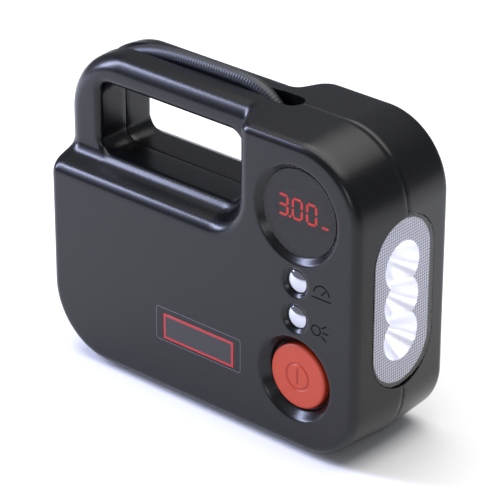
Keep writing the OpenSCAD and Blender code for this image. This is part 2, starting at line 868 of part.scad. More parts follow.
module port_frame() {
    z1 = port_z0 + port_h;
    color("#25272d") difference() {
        union() {
            box(port_x0, port_x0 + port_l, port_y, y_face, port_z0, z1);
            box(port_x0 - port_flange, port_x0 + port_l + port_flange, port_y,
                y_face - wall - 0.1, port_z0 - port_flange, z1 + port_flange);
        }
        // Recess that the cover closes, open to the outside, with a notch for a fingertip
        box(cover_x0 - cover_gap, cover_x0 + cover_l + cover_gap, plate_y1, y_face + 1,
            cover_z0 - cover_gap, cover_axis_z + cover_barrel_r + cover_gap);
        box(cover_x0 + (cover_l - notch_l) / 2, cover_x0 + (cover_l + notch_l) / 2, plate_y1,
            y_face + 1, cover_z0 - 1.6, cover_z0 + 1);
        along_x(port_x0 - 1, cover_y - cover_t / 2, cover_axis_z)
            cylinder(r = cover_pin_r + cover_pin_gap, h = port_l + 2);
        // Seats of the sockets
        box(socket_x0 - port_gap, socket_x0 + socket_l + port_gap, port_y - 1, plate_y1 + 1,
            socket_z0 - port_gap, socket_top + port_gap);
        for (i = [0, 1])
            box(usb_x0 - port_gap, usb_x0 + usb_l + port_gap, port_y - 1, plate_y1 + 1,
                socket_z0 + 8.2 * i - port_gap, socket_z0 + usb_h + 8.2 * i + port_gap);
        bar_y(jack_x, jack_z, jack_r + port_gap, port_y - 1, plate_y1 + 1);
    }
}

// Hinged door over the ports, hanging from two stub pins along its upper edge
module port_cover() {
    y1 = cover_y;
    color("#202228") {
        box(cover_x0, cover_x0 + cover_l, y1 - cover_t, y1, cover_z0, cover_axis_z);
        along_x(cover_x0, y1 - cover_t / 2, cover_axis_z) cylinder(r = cover_barrel_r, h = cover_l);
        along_x(cover_x0 - cover_stub, y1 - cover_t / 2, cover_axis_z)
            cylinder(r = cover_pin_r, h = cover_l + 2 * cover_stub);
    }
}

module output_socket() {
    color("#2b5fb0") difference() {
        box(socket_x0, socket_x0 + socket_l, socket_y - socket_d, socket_y, socket_z0, socket_top);
        for (i = [-1, 1])
            bar_y(socket_x0 + socket_l / 2 + 5.5 * i, socket_z0 + 7, 1.9, socket_hole_y, socket_y + 1);
    }
}

module usb_sockets() {
    color("#c4c6ca") for (i = [0, 1]) {
        z = socket_z0 + 8.2 * i;
        difference() {
            box(usb_x0, usb_x0 + usb_l, socket_y - socket_d, socket_y, z, z + usb_h);
            box(usb_x0 + 0.5, usb_x0 + usb_l - 0.5, socket_hole_y, socket_y + 1, z + 0.5, z + 2.6);
            box(usb_x0 + 0.5, usb_x0 + usb_l - 0.5, socket_hole_y, socket_y + 1, z + 4.2, z + usb_h - 0.5);
        }
    }
}

module charge_jack() {
    color("#17181b") difference() {
        bar_y(jack_x, jack_z, jack_r, socket_y - 11, socket_y);
        difference() {
            bar_y(jack_x, jack_z, 2.4, socket_y - 8, socket_y + 1);
            bar_y(jack_x, jack_z, 0.9, socket_y - 9, socket_y - 1);
        }
    }
}

// --- Compressor ---

// Upright plate with the motor face and the axle, a shelf for the cylinder and a foot to the case
module compressor_bracket() {
    color("#9aa0a6") difference() {
        union() {
            box(plate_x, plate_x + plate_t, comp_y - 16, foot_plate_y + 3, 15, shelf_z + shelf_t);
            box(plate_x, cyl_x + 15.5, comp_y - 16, comp_y + 16, shelf_z, shelf_z + shelf_t);
            box(foot_plate_x, plate_x + plate_t, foot_plate_y, foot_plate_y + 3, 15, shelf_z);
        }
        along_x(plate_x - 1, comp_y, motor_z) cylinder(r = 6, h = plate_t + 2);
        along_x(plate_x - 1, comp_y, gear_z) cylinder(r = axle_r, h = plate_t + 2);
        translate([cyl_x, comp_y, shelf_z - 1]) cylinder(r = bore_r + cyl_wall + 0.05, h = shelf_t + 2);
        for (z = BRACKET_HOLES)
            bar_y(foot_plate_x + 8, z, bracket_screw_r + 0.2, foot_plate_y - 1, foot_plate_y + 4);
    }
}

module bracket_screws() {
    color("silver") for (z = BRACKET_HOLES) {
        bar_y(foot_plate_x + 8, z, bracket_screw_r, foot_plate_y, foot_plate_y + 6.4);
        bar_y(foot_plate_x + 8, z, 3, foot_plate_y - 2, foot_plate_y);
    }
}

module motor_can() {
    color("#aab0b6") difference() {
        along_x(motor_x - motor_l, comp_y, motor_z) cylinder(r = motor_r, h = motor_l);
        along_x(motor_x - motor_l + 1.4, comp_y, motor_z) cylinder(r = motor_r - 1.4, h = motor_l);
        along_x(motor_x - motor_l - 1, comp_y, motor_z) cylinder(r = shaft_r + shaft_gap, h = 4);
    }
}

// Front cap of the motor with its bearing, flat against the bracket
module motor_cap() {
    color("#777c82") difference() {
        union() {
            along_x(motor_x, comp_y, motor_z) cylinder(r = motor_r, h = plate_x - motor_x);
            along_x(motor_x, comp_y, motor_z) cylinder(r = 5.9, h = 5);
        }
        along_x(motor_x - 1, comp_y, motor_z) cylinder(r = shaft_r + shaft_gap, h = 9);
    }
}

module motor_rotor() {
    color("#b87333") {
        along_x(motor_x - motor_l - 2, comp_y, motor_z) cylinder(r = shaft_r, h = motor_l + 18);
        along_x(motor_x - motor_l + 8, comp_y, motor_z) cylinder(r = motor_r - 4.5, h = motor_l - 16);
        along_x(motor_x - 6, comp_y, motor_z) cylinder(r = 5, h = 4);
    }
}

module pinion() {
    color("goldenrod") difference() {
        along_x(gear_x - 1, comp_y, motor_z) linear_extrude(gear_w + 1)
            gear_outline(pinion_teeth, gear_m);
        along_x(gear_x - 2, comp_y, motor_z) cylinder(r = shaft_r, h = gear_w + 4);
    }
}

module gear_axle() {
    color("silver") {
        along_x(plate_x, comp_y, gear_z) cylinder(r = axle_r, h = 13.8);
        along_x(plate_x - 1.5, comp_y, gear_z) cylinder(r = axle_r + 1.5, h = 1.5);
    }
}

module gear_clip() {
    color("#606468") difference() {
        along_x(gear_x + gear_w + 0.2, comp_y, gear_z) cylinder(r = 4.8, h = 0.8);
        along_x(gear_x + gear_w, comp_y, gear_z) cylinder(r = axle_r, h = 3);
    }
}

module drive_gear() {
    color("#e6e2d6") difference() {
        union() {
            along_x(gear_x, comp_y, gear_z) rotate([0, 0, 180 / gear_teeth])
                linear_extrude(gear_w) gear_outline(gear_teeth, gear_m);
            along_x(plate_x + plate_t + 0.2, comp_y, gear_z) cylinder(r = 5.5, h = 5);
        }
        along_x(plate_x, comp_y, gear_z) cylinder(r = axle_r + shaft_gap, h = 20);
        for (a = [60:60:300])
            along_x(gear_x - 1, comp_y + 15 * cos(a + 90), gear_z + 15 * sin(a + 90))
                cylinder(r = 4, h = gear_w + 2);
    }
}

module crank_pin() {
    color("silver")
        along_x(gear_x + gear_w, comp_y, gear_z + crank_r) cylinder(r = crank_pin_r, h = 3);
}

piston_z = gear_z + crank_r + rod_l;

// Rod and piston in one piece, as small compressors have them
module piston_rod() {
    eye_z = gear_z + crank_r;
    color("#d9d9dc") difference() {
        union() {
            along_x(rod_x, comp_y, eye_z) cylinder(r = rod_eye_r, h = rod_t);
            box(rod_x + 0.5, rod_x + rod_t - 0.5, comp_y - 3, comp_y + 3, eye_z, piston_z);
            translate([cyl_x, comp_y, piston_z - 4]) cylinder(r = bore_r - 0.6, h = 4);
        }
        along_x(rod_x - 1, comp_y, eye_z) cylinder(r = crank_pin_r + crank_pin_gap, h = rod_t + 2);
    }
}

module piston_cup() {
    color("#2a2a2c")
        translate([cyl_x, comp_y, piston_z]) cylinder(r = bore_r - piston_gap, h = 1.6);
}

cyl_z0 = shelf_z;
cyl_z1 = shelf_z + cyl_h;

module cylinder_body() {
    outer = bore_r + cyl_wall;
    translate([0, 0, cyl_z0]) cylinder(r = outer, h = cyl_h);
    translate([0, 0, shelf_z + shelf_t]) cylinder(r = head_r, h = 2);
    for (i = [0:3])
        translate([0, 0, shelf_z + shelf_t + 5.6 + 4 * i]) cylinder(r = head_r, h = fin_t);
}

module cylinder_sleeve() {
    color("#b4b8bd") translate([cyl_x, comp_y, 0]) difference() {
        cylinder_body();
        translate([0, 0, cyl_z0 - 1]) cylinder(r = bore_r, h = cyl_h + 2);
    }
}

HEAD_HOLES = [45, 135, 225, 315];

module cylinder_head() {
    color("#8c9197") difference() {
        union() {
            translate([cyl_x, comp_y, cyl_z1]) cylinder(r = head_r, h = head_h);
            bar_y(cyl_x, nipple_z, nipple_r, comp_y + 10, nipple_y);
        }
        for (a = HEAD_HOLES)
            translate([cyl_x + 12.4 * cos(a), comp_y + 12.4 * sin(a), cyl_z1 - 1])
                cylinder(r = 1.25, h = head_h + 2);
    }
}

module head_screws() {
    color("silver") for (a = HEAD_HOLES)
        translate([cyl_x + 12.4 * cos(a), comp_y + 12.4 * sin(a), 0]) {
            translate([0, 0, cyl_z1]) cylinder(r = 1.2, h = head_h);
            translate([0, 0, cyl_z1 + head_h]) cylinder(r = 2.1, h = 1.8);
        }
}

module pressure_tube() {
    color("#c9cdd2") sweep(TUBE, tube_r, 8, [1, -1, 1]);
}

// --- Hose ---

module hose_gland() {
    x1 = TUBE[len(TUBE) - 1][0];
    z1 = gland_port_z;
    color("#c8a24a") {
        translate([gland_x, 0, gland_floor]) cylinder(r = gland_r, h = gland_z - gland_floor);
        translate([gland_x, 0, z1 - gland_shank_r]) cylinder(r = gland_shank_r, h = gland_floor - z1 + 3);
        along_x(gland_x, 0, z1) cylinder(r = 2.4, h = x1 - gland_x);
    }
}

module air_hose() {
    color("#1d1e22") sweep(hose_points(), hose_r, hose_sides, [0, 1, 0]);
}

nut_z0 = pocket_top - collar_l - nut_l;

// Ferrule on the hose and the spindle that carries the nut
module chuck_stem() {
    color("#c8a24a") translate([pocket_x, 0, 0]) {
        translate([0, 0, pocket_top - collar_l]) cylinder(r = hose_r + 0.9, h = collar_l);
        translate([0, 0, nut_z0 + 4.2]) cylinder(r = stem_r, h = nut_l - 4);
    }
}

module chuck_nut() {
    color("#b98f3c") translate([pocket_x, 0, nut_z0]) difference() {
        cylinder(r = nut_r, h = nut_l - 0.2);
        translate([0, 0, -1]) cylinder(r = stem_r + 0.55, h = 5);
        translate([0, 0, -1]) cylinder(r = stem_r + stem_gap, h = nut_l + 2);
        for (a = [0:20:340])
            rotate([0, 0, a]) translate([nut_r, 0, 3]) rotate([0, 0, 45]) cube([0.9, 0.9, 30], center = true);
    }
}

front_shell();
back_shell();
case_screws();
rubber_feet();
badge_plate();
display_window();
display_module();
display_digits();
control_board();
board_screws();
tact_switches();
power_board();
power_spring();
power_button();
unit_button();
lamp_button();
lamp_lens();
lamp_seal();
lamp_reflector();
lamp_board();
lamp_leds();
battery_cells();
battery_tray();
battery_links();
battery_board();
power_leads();
port_frame();
port_cover();
output_socket();
usb_sockets();
charge_jack();
compressor_bracket();
bracket_screws();
motor_can();
motor_cap();
motor_rotor();
pinion();
gear_axle();
gear_clip();
drive_gear();
crank_pin();
piston_rod();
piston_cup();
cylinder_sleeve();  // cylinder
cylinder_head();
head_screws();
pressure_tube();
hose_gland();
air_hose();
chuck_stem();
chuck_nut();
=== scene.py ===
# Looks for a portable jump starter pack: satin moulded case, ribbed air hose, lit lamp and controls.
import json
import math

import bmesh
import bpy
import numpy as np
from mathutils import Matrix, Vector
from mathutils.geometry import delaunay_2d_cdt


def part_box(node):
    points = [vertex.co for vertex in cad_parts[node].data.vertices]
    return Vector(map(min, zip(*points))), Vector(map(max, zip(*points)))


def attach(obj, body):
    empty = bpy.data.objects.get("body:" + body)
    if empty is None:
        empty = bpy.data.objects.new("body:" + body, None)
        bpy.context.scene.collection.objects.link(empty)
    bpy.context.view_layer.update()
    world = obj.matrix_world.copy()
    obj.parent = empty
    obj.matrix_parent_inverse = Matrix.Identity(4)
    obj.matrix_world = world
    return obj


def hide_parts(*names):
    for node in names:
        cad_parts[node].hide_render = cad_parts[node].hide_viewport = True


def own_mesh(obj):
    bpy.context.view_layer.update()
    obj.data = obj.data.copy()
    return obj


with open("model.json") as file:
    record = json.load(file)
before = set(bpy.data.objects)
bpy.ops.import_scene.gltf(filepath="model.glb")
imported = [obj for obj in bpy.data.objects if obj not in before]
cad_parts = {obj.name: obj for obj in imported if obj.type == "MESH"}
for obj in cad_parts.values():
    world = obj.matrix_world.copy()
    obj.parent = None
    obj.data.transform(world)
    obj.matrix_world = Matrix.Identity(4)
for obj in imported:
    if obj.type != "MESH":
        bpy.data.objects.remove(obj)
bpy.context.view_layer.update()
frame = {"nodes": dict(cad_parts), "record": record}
nodes = frame["nodes"]
mm = 0.001  # shapes are worked out in millimetres and stored in metres

view = {
    "azimuth": 41.385, "elevation": 26.888, "roll": 0.162,  # degrees
    "distance": 1524.2, "target": (4.66, 0.0, 84.79), "lens": 203.07,
}


# The camera looks along forward, found from azimuth and elevation, and is rolled about it.
def placeCamera(v):
    az, el, roll = (math.radians(v[k]) for k in ("azimuth", "elevation", "roll"))
    forward = Vector((-math.sin(az) * math.cos(el), math.cos(az) * math.cos(el), -math.sin(el)))
    right = Vector((math.cos(az), math.sin(az), 0))
    up = right.cross(forward)
    camRight = math.cos(roll) * right + math.sin(roll) * up
    camUp = math.cos(roll) * up - math.sin(roll) * right
    data = bpy.data.cameras.new("camera")
    data.lens, data.sensor_width = v["lens"], 36
    data.clip_start, data.clip_end = 0.05, 50
    camera = bpy.data.objects.new("camera", data)
    bpy.context.scene.collection.objects.link(camera)
    turn = Matrix((camRight, camUp, -forward)).transposed().to_4x4()
    place = (Vector(v["target"]) - forward * v["distance"]) * mm
    camera.matrix_world = Matrix.Translation(place) @ turn
    bpy.context.scene.camera = camera


placeCamera(view)
print("camera placed")


# Piece from an N x 3 array in millimetres and its faces; edges bent past sharpAngle stay crisp.
def addMesh(name, points, faces, sharpAngle=35):
    mesh = bpy.data.meshes.new(name)
    faces = faces.tolist() if isinstance(faces, np.ndarray) else faces
    mesh.from_pydata((np.asarray(points, float) * mm).tolist(), [], faces)
    mesh.polygons.foreach_set("use_smooth", np.ones(len(mesh.polygons), bool))
    mesh.update()
    mesh.set_sharp_from_angle(angle=math.radians(sharpAngle))
    obj = bpy.data.objects.new(name, mesh)
    bpy.context.scene.collection.objects.link(obj)
    return obj


# Joins points closer than distance millimetres and drops faces that have shrunk to nothing.
def mergePoints(obj, distance=0.02, recalculate=False):
    bm = bmesh.new()
    bm.from_mesh(obj.data)
    bmesh.ops.remove_doubles(bm, verts=bm.verts, dist=distance * mm)
    bmesh.ops.dissolve_degenerate(bm, edges=bm.edges, dist=distance * mm * 0.2)
    if recalculate:
        bmesh.ops.recalc_face_normals(bm, faces=bm.faces)
    bm.to_mesh(obj.data)
    bm.free()


# Quads of a rows x cols grid of points, wrapped round along its columns when closeCols is set.
def gridFaces(rows, cols, closeCols=False):
    i = np.arange(rows - 1)[:, None]
    j = np.arange(cols if closeCols else cols - 1)[None, :]
    j2 = (j + 1) % cols
    return np.stack([i * cols + j, i * cols + j2, (i + 1) * cols + j2, (i + 1) * cols + j], -1).reshape(-1, 4)


# Rises from 0 to 1 as 3 t squared less 2 t cubed.
def smoothStep(x):
    t = np.clip(x, 0, 1)
    return t * t * (3 - 2 * t)


low, high = (np.array(v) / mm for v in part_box("front_shell"))
case = {
    "left": low[0], "right": high[0], "bottom": low[2], "top": high[2],
    "corners": {(-1, -1): 42, (1, -1): 36, (1, 1): 42, (-1, 1): 40},  # outline radii by side
    "face": -low[1], "grip": 21.5,  # depth of the flat faces and of the handle's faces
    "draft": 2.0, "edge": 5.0, "gripEdge": 10.0,
    "stepX": 26.5, "stepZ": 117.2, "stepCorner": 20.0,  # line of the step and the radius of its corner
    "stepRadius": 8.0, "stepSlope": 69.0,  # rounding and steepest angle of the step
    "gap": (-86.5, 16.0, 123.0, 164.0), "gapCorner": 8.0, "gapEdge": 5.0, "gapFloorEdge": 3.0,
    "wall": 2.4, "seam": 0.28,
}
wallSqueeze = 0.5  # the flat layout draws side walls at half their real height
gapWallRows = 7.0  # width that the finger gap's wall takes in the flat layout
route = np.array([  # centre line of the hose as x and z at y = 0
    (-106.5, 94), (-106.5, 104), (-106.5, 114), (-106.5, 124), (-106.5, 134), (-106, 144), (-103, 154),
    (-97.5, 163), (-90, 169.5), (-81, 175), (-71, 179.2), (-60, 181.8), (-48, 183.2), (-35, 183.8),
    (-22, 184), (-10, 184), (0, 183.8), (10, 182.2), (19, 178), (26.5, 171), (31.4, 162.5),
    (33.6, 156.5), (34, 153), (34, 149.5)], float)
groove = {
    "radius": 5.5, "start": 88.5, "foot": 94.0,  # the foot rounds out between these two heights
    "pocketX": 34.0, "pocketRadius": 6.6,  # middle of the slot's round end that the hose dips into
    "pocketWall": 23.0, "pocketFloor": 121.0,  # the slot's walls run straight down from this x to this height
    "widenAt": 19.0, "widenOver": 4.0,  # where the groove opens out into the slot
    "denseAt": 91.0,  # the outline is divided more finely round this height
}
topSide = 150.0  # outline points above this height lie on the top
# rows of points round an edge, as shares of its quarter turn
rimSteps = np.array([0, 8, 18, 30, 42, 54, 66, 78, 90]) / 90
gapSteps = np.array([0, 10, 22, 34, 46, 58, 70, 80, 90]) / 90
spacing = {
    "outline": 2.2, "wallRows": (0.1, 0.28, 0.5, 0.72, 0.9), "seamRows": (0.55, 0.2),
    "gap": 2.0, "gapRows": (0.25, 0.5, 0.75, 0.96, 0.985),
    "lampRows": (0.8, 2.4, 5.5), "dishRows": (1.2, 3.0), "hole": 3.0,
    "fine": 1.25, "fineTo": 9.6, "coarse": 4.0, "coarseFrom": 11.0,  # grids across the step and on the flats
    "clear": 0.7,  # the grid stays this far from rims
}
seamFade = (1.2, 0.35)  # the seam's bevel is full at the joint and gone this far up the wall


# Distance inside the case outline, the outward direction and the nearest outline point, for points p.
def fromOutline(p):
    x, z = p[:, 0], p[:, 1]
    best = np.stack([x - case["left"], case["right"] - x, z - case["bottom"], case["top"] - z], 1)
    side = best.argmin(1)
    inset = best[np.arange(len(p)), side]
    out = np.array([(-1, 0), (1, 0), (0, -1), (0, 1)], float)[side]
    for (sx, sz), r in case["corners"].items():
        c = np.array([(case["left"] + r) if sx < 0 else (case["right"] - r),
                      (case["bottom"] + r) if sz < 0 else (case["top"] - r)])
        v = p - c
        inCorner = (v[:, 0] * sx > 0) & (v[:, 1] * sz > 0)
        length = np.hypot(v[:, 0], v[:, 1]) + 1e-9
        inset = np.where(inCorner, r - length, inset)
        out = np.where(inCorner[:, None], v / length[:, None], out)
    return inset, out, p + out * inset[:, None]


# Distance of points p past the line of the step, positive on the handle's side; its one corner is round.
def pastStep(p):
    x, z = p[:, 0], p[:, 1]
    r = case["stepCorner"]
    cx, cz = case["stepX"] - r, case["stepZ"] + r
    inner = r - np.hypot(np.maximum(x - cx, 0), np.maximum(cz - z, 0))
    return np.where((x > cx) | (z < cz), inner, np.minimum(case["stepX"] - x, z - case["stepZ"]))


# Depth of the face at points p: two arcs joined by a straight slope between the case and the handle.
def faceLevel(p):
    q = pastStep(p)
    a = math.radians(case["stepSlope"])
    rise, k = case["face"] - case["grip"], case["stepRadius"]
    straight = (rise - 2 * k * (1 - math.cos(a))) / math.sin(a)
    half = k * math.sin(a) + straight * math.cos(a) / 2
    t = half - np.abs(q)  # distance in from the nearer end of the step
    bow = k - np.sqrt(np.maximum(k * k - np.clip(t, 0, k * math.sin(a)) ** 2, 0))
    drop = bow + np.maximum(t - k * math.sin(a), 0) * math.tan(a)
    return np.where(q > 0, case["grip"] + drop, case["face"] - drop)


# Edge radius and draft inset that belong to a face level.
def rimOf(level):
    share = (case["face"] - level) / (case["face"] - case["grip"])
    r = case["edge"] + (case["gripEdge"] - case["edge"]) * share
    return r, case["draft"] * (level - r) / (case["face"] - case["edge"])


# Length along the outline from the foot of the hose groove, up the left side and over the top.
def grooveLine(foot):
    r = case["corners"][(-1, 1)]
    cx, cz = case["left"] + r, case["top"] - r
    turn = np.arctan2(foot[:, 1] - cz, cx - foot[:, 0])
    overTop = np.where(foot[:, 0] < cx, turn * r, np.pi / 2 * r + foot[:, 0] - cx)
    s = np.where(foot[:, 1] <= cz, foot[:, 1] - cz, overTop)
    onIt = (foot[:, 1] > groove["start"]) & (foot[:, 0] < cx) | (foot[:, 1] > case["top"] - 0.01)
    return np.where(onIt & (foot[:, 0] < groove["pocketX"] + groove["pocketRadius"]), s, np.nan)


routeInset, _, routeFoot = fromOutline(route)
routeLine = grooveLine(routeFoot + (0, 1e-3))
routeLine[0] = grooveLine(np.array([[case["left"], groove["foot"]]]))[0]
useRoute = route[:, 0] < groove["pocketX"] - 1


# Half width of the groove's mouth, depth of its centre line and depth of its floor, at outline points.
def grooveShape(foot):
    s = grooveLine(foot)
    on = ~np.isnan(s)
    s0 = np.where(on, s, 0)
    depth = np.interp(s0, routeLine[useRoute], routeInset[useRoute])
    onTop = foot[:, 1] > topSide
    x = np.where(onTop, foot[:, 0], case["left"])
    share = smoothStep((x - groove["widenAt"]) / groove["widenOver"])
    r = groove["radius"] + (groove["pocketRadius"] - groove["radius"]) * share
    inPocket = x > groove["pocketWall"]
    width = np.where(depth >= 0, r, np.sqrt(np.maximum(r * r - depth * depth, 0.01)))
    pocketEnd = np.maximum(groove["pocketRadius"] ** 2 - np.maximum(x - groove["pocketX"], 0) ** 2, 0)
    width = np.where(x > groove["pocketX"], np.sqrt(pocketEnd), width)
    startShare = np.clip((groove["foot"] - foot[:, 1]) / (groove["foot"] - groove["start"]), 0, 1)
    width = np.where(onTop, width, width * np.sqrt(np.maximum(1 - startShare ** 2, 0)))
    floor = np.where(inPocket, case["top"] - groove["pocketFloor"], depth + r)
    return np.where(on, width, 0), np.where(on, depth, 0), np.where(on, floor, 0), r


# Distance outside the finger gap's outline and the direction into the gap.
def fromGap(p):
    x0, x1, z0, z1 = case["gap"]
    r = case["gapCorner"]
    core = np.stack([np.clip(p[:, 0], x0 + r, x1 - r), np.clip(p[:, 1], z0 + r, z1 - r)], 1)
    v = p - core
    length = np.hypot(v[:, 0], v[:, 1]) + 1e-9
    return length - r, -v / length[:, None]


# The gap's edge rounding: smaller on its floor, where into points down.
def gapEdgeOf(into):
    share = smoothStep(0.5 + into[:, 1] * 1.2)
    return case["gapEdge"] + (case["gapFloorEdge"] - case["gapEdge"]) * share


# Small bevel at the parting line, by depth y.
def seamInset(y):
    return case["seam"] * np.clip(seamFade[0] - y / seamFade[1], 0, 1)


# Places layout points: flat faces by faceLevel, rims as quarter rounds that run on into the drafted side
# wall, the finger gap's rim and wall likewise, and each dish as a depth by distance from its centre.
def liftHalf(p, dishes):
    inset, out, foot = fromOutline(p)
    r, di = rimOf(faceLevel(foot))
    a = di + r - inset
    theta = np.clip(a / r, 0, 1) * np.pi / 2
    wallRun = np.maximum(a - r, 0) / wallSqueeze
    planInset = np.where(a > 0, di + r * (1 - np.sin(theta)), inset)
    plan = np.where((a > 0)[:, None], foot - out * planInset[:, None], p)
    share = np.clip(a / r, 0, 1)
    rounded = np.where(a > 0, r * (1 - np.cos(theta)), 0)
    y = faceLevel(plan) * (1 - share) + faceLevel(foot) * share - rounded - wallRun
    onWall = wallRun > 0
    wallInset = di * np.maximum(y, 0) / np.maximum(faceLevel(plan) - r, 1)
    wallInset = wallInset + np.where(grooveShape(foot)[0] > 0.3, 0, seamInset(y))
    plan = np.where(onWall[:, None], foot - out * wallInset[:, None], plan)
    g, into = fromGap(p)
    rg = gapEdgeOf(into)
    near = (g < rg) & (a <= 0)
    t = np.clip(1 - g / rg, 0, 1) * np.pi / 2
    gapPlan = p + into * np.where(g > 0, g - rg * (1 - np.sin(t)), g)[:, None]
    gy = faceLevel(gapPlan) - rg * (1 - np.cos(t))
    deep = np.clip(-g / gapWallRows, 0, 1)
    gy = gy * (1 - deep)
    gapPlan = gapPlan - into * (seamInset(gy) * (deep > 0))[:, None]
    plan = np.where(near[:, None], gapPlan, plan)
    y = np.where(near, gy, y)
    for x, z, rho, drop in dishes:
        d = np.hypot(p[:, 0] - x, p[:, 1] - z)
        y = y - np.where(d < rho[-1], np.interp(d, rho, drop), 0)
    return np.stack([plan[:, 0], y, plan[:, 1]], 1)


# Points round the outline, counter-clockwise in x and z, closer together where dense says so.
def outlineLoop(step, dense):
    left, right, bottom, top = (case[k] for k in ("left", "right", "bottom", "top"))
    parts, order = [], [((-1, -1), 180, 270), ((1, -1), 270, 360), ((1, 1), 0, 90), ((-1, 1), 90, 180)]
    for (sx, sz), a0, a1 in order:
        r = case["corners"][(sx, sz)]
        a = np.radians(np.linspace(a0, a1, max(int(r * np.pi / 2 / step), 8) + 1))
        cx, cz = (left + r if sx < 0 else right - r), (bottom + r if sz < 0 else top - r)
        parts.append(np.stack([cx + r * np.cos(a), cz + r * np.sin(a)], 1))
    loop = []
    for k in range(4):
        loop.append(parts[k])
        p0, p1 = parts[k][-1], parts[(k + 1) % 4][0]
        n = max(int(np.hypot(*(p1 - p0)) / 0.5), 2)
        t = np.linspace(0, 1, n, endpoint=False)[1:]
        line = p0 + (p1 - p0) * t[:, None]
        length = np.hypot(*(p1 - p0))
        run = np.cumsum(length / n / np.where(dense(line), step * 0.4, step))
        keep = np.diff(np.floor(run), prepend=0) > 0
        loop.append(line[keep])
    p = np.concatenate(loop)
    keepApart = np.hypot(*(p - np.roll(p, 1, 0)).T) > 0.15
    return p[keepApart]


# Where the outline crosses the step or the ends of the hose groove.
def nearStep(p):
    x, z = p[:, 0], p[:, 1]
    left = (x < case["left"] + 12) & ((np.abs(z - case["stepZ"]) < 12) | (np.abs(z - groove["denseAt"]) < 4))
    return left | (z > topSide) & (np.abs(x - case["stepX"]) < 16)


# n points evenly round a circle.
def ringPoints(x, z, r, n):
    a = np.linspace(0, 2 * np.pi, n, endpoint=False)
    return np.stack([x + r * np.cos(a), z + r * np.sin(a)], 1)


# Outline of a rectangle with round corners, counter-clockwise.
def roundedBox(x0, x1, z0, z1, r, n=5):
    a = np.linspace(0, np.pi / 2, n)
    corner = np.stack([np.cos(a), np.sin(a)], 1) * r
    turn = [(1, 1, x1 - r, z1 - r), (-1, 1, x0 + r, z1 - r),
            (-1, -1, x0 + r, z0 + r), (1, -1, x1 - r, z0 + r)]
    rows = [np.stack([cx + corner[:, 0] * sx, cz + corner[:, 1] * sz], 1)[::(1 if sx * sz > 0 else -1)]
            for sx, sz, cx, cz in turn]
    return np.concatenate(rows)


# Adds points along a closed loop so that no side is longer than step.
def splitLoop(loop, step):
    rows = []
    for a, b in zip(loop, np.roll(loop, -1, 0)):
        n = max(int(np.ceil(np.hypot(*(b - a)) / step)), 1)
        rows.append(a + (b - a) * np.linspace(0, 1, n, endpoint=False)[:, None])
    return np.concatenate(rows)


# Layout point of a place on the right wall at depth y.
def wallLayout(y, z):
    x = case["right"] - case["draft"] + (case["face"] - case["edge"] - y) * wallSqueeze
    return np.stack([x + 0 * z, z + 0 * y], 1)


lamp = {"z": 90.7, "radius": 24.8, "half": 24.6}  # half: from its middle to the middle of each round end


# Half of the lamp opening's stadium, from its lowest to its highest point, as depth and height.
def lampHalfLoop(grow, n=40):
    r = lamp["radius"] + grow
    a = np.linspace(0, np.pi / 2, n // 2)
    lower = np.stack([r * np.cos(a[::-1]), lamp["z"] - lamp["half"] - r * np.sin(a[::-1])], 1)
    run = np.linspace(-lamp["half"], lamp["half"], 22)[1:-1]
    side = np.stack([np.full(len(run), r), lamp["z"] + run], 1)
    return np.vstack([lower, side, lower[::-1] * (1, -1) + (0, 2 * lamp["z"])])


# Points of a triangular grid over the whole outline: every other row is shifted by half a step.
def triGrid(step):
    zs = np.arange(case["bottom"] + 4, case["top"] - 4, step * 0.866)
    xs = np.arange(case["left"] + 4, case["right"] - 4, step)
    x, z = np.meshgrid(xs, zs)
    x = x + (np.arange(len(zs)) % 2)[:, None] * step / 2
    return np.stack([x.ravel(), z.ravel()], 1)


# Edges with one face only are marked sharp, so the wall's own edges stay crisp once it has a thickness.
def markBoundary(mesh):
    loopEdges = np.empty(len(mesh.loops), np.int32)
    mesh.loops.foreach_get("edge_index", loopEdges)
    sharp = np.empty(len(mesh.edges), bool)
    mesh.edges.foreach_get("use_edge_sharp", sharp)
    sharp |= np.bincount(loopEdges, minlength=len(mesh.edges)) == 1
    mesh.edges.foreach_set("use_edge_sharp", sharp)


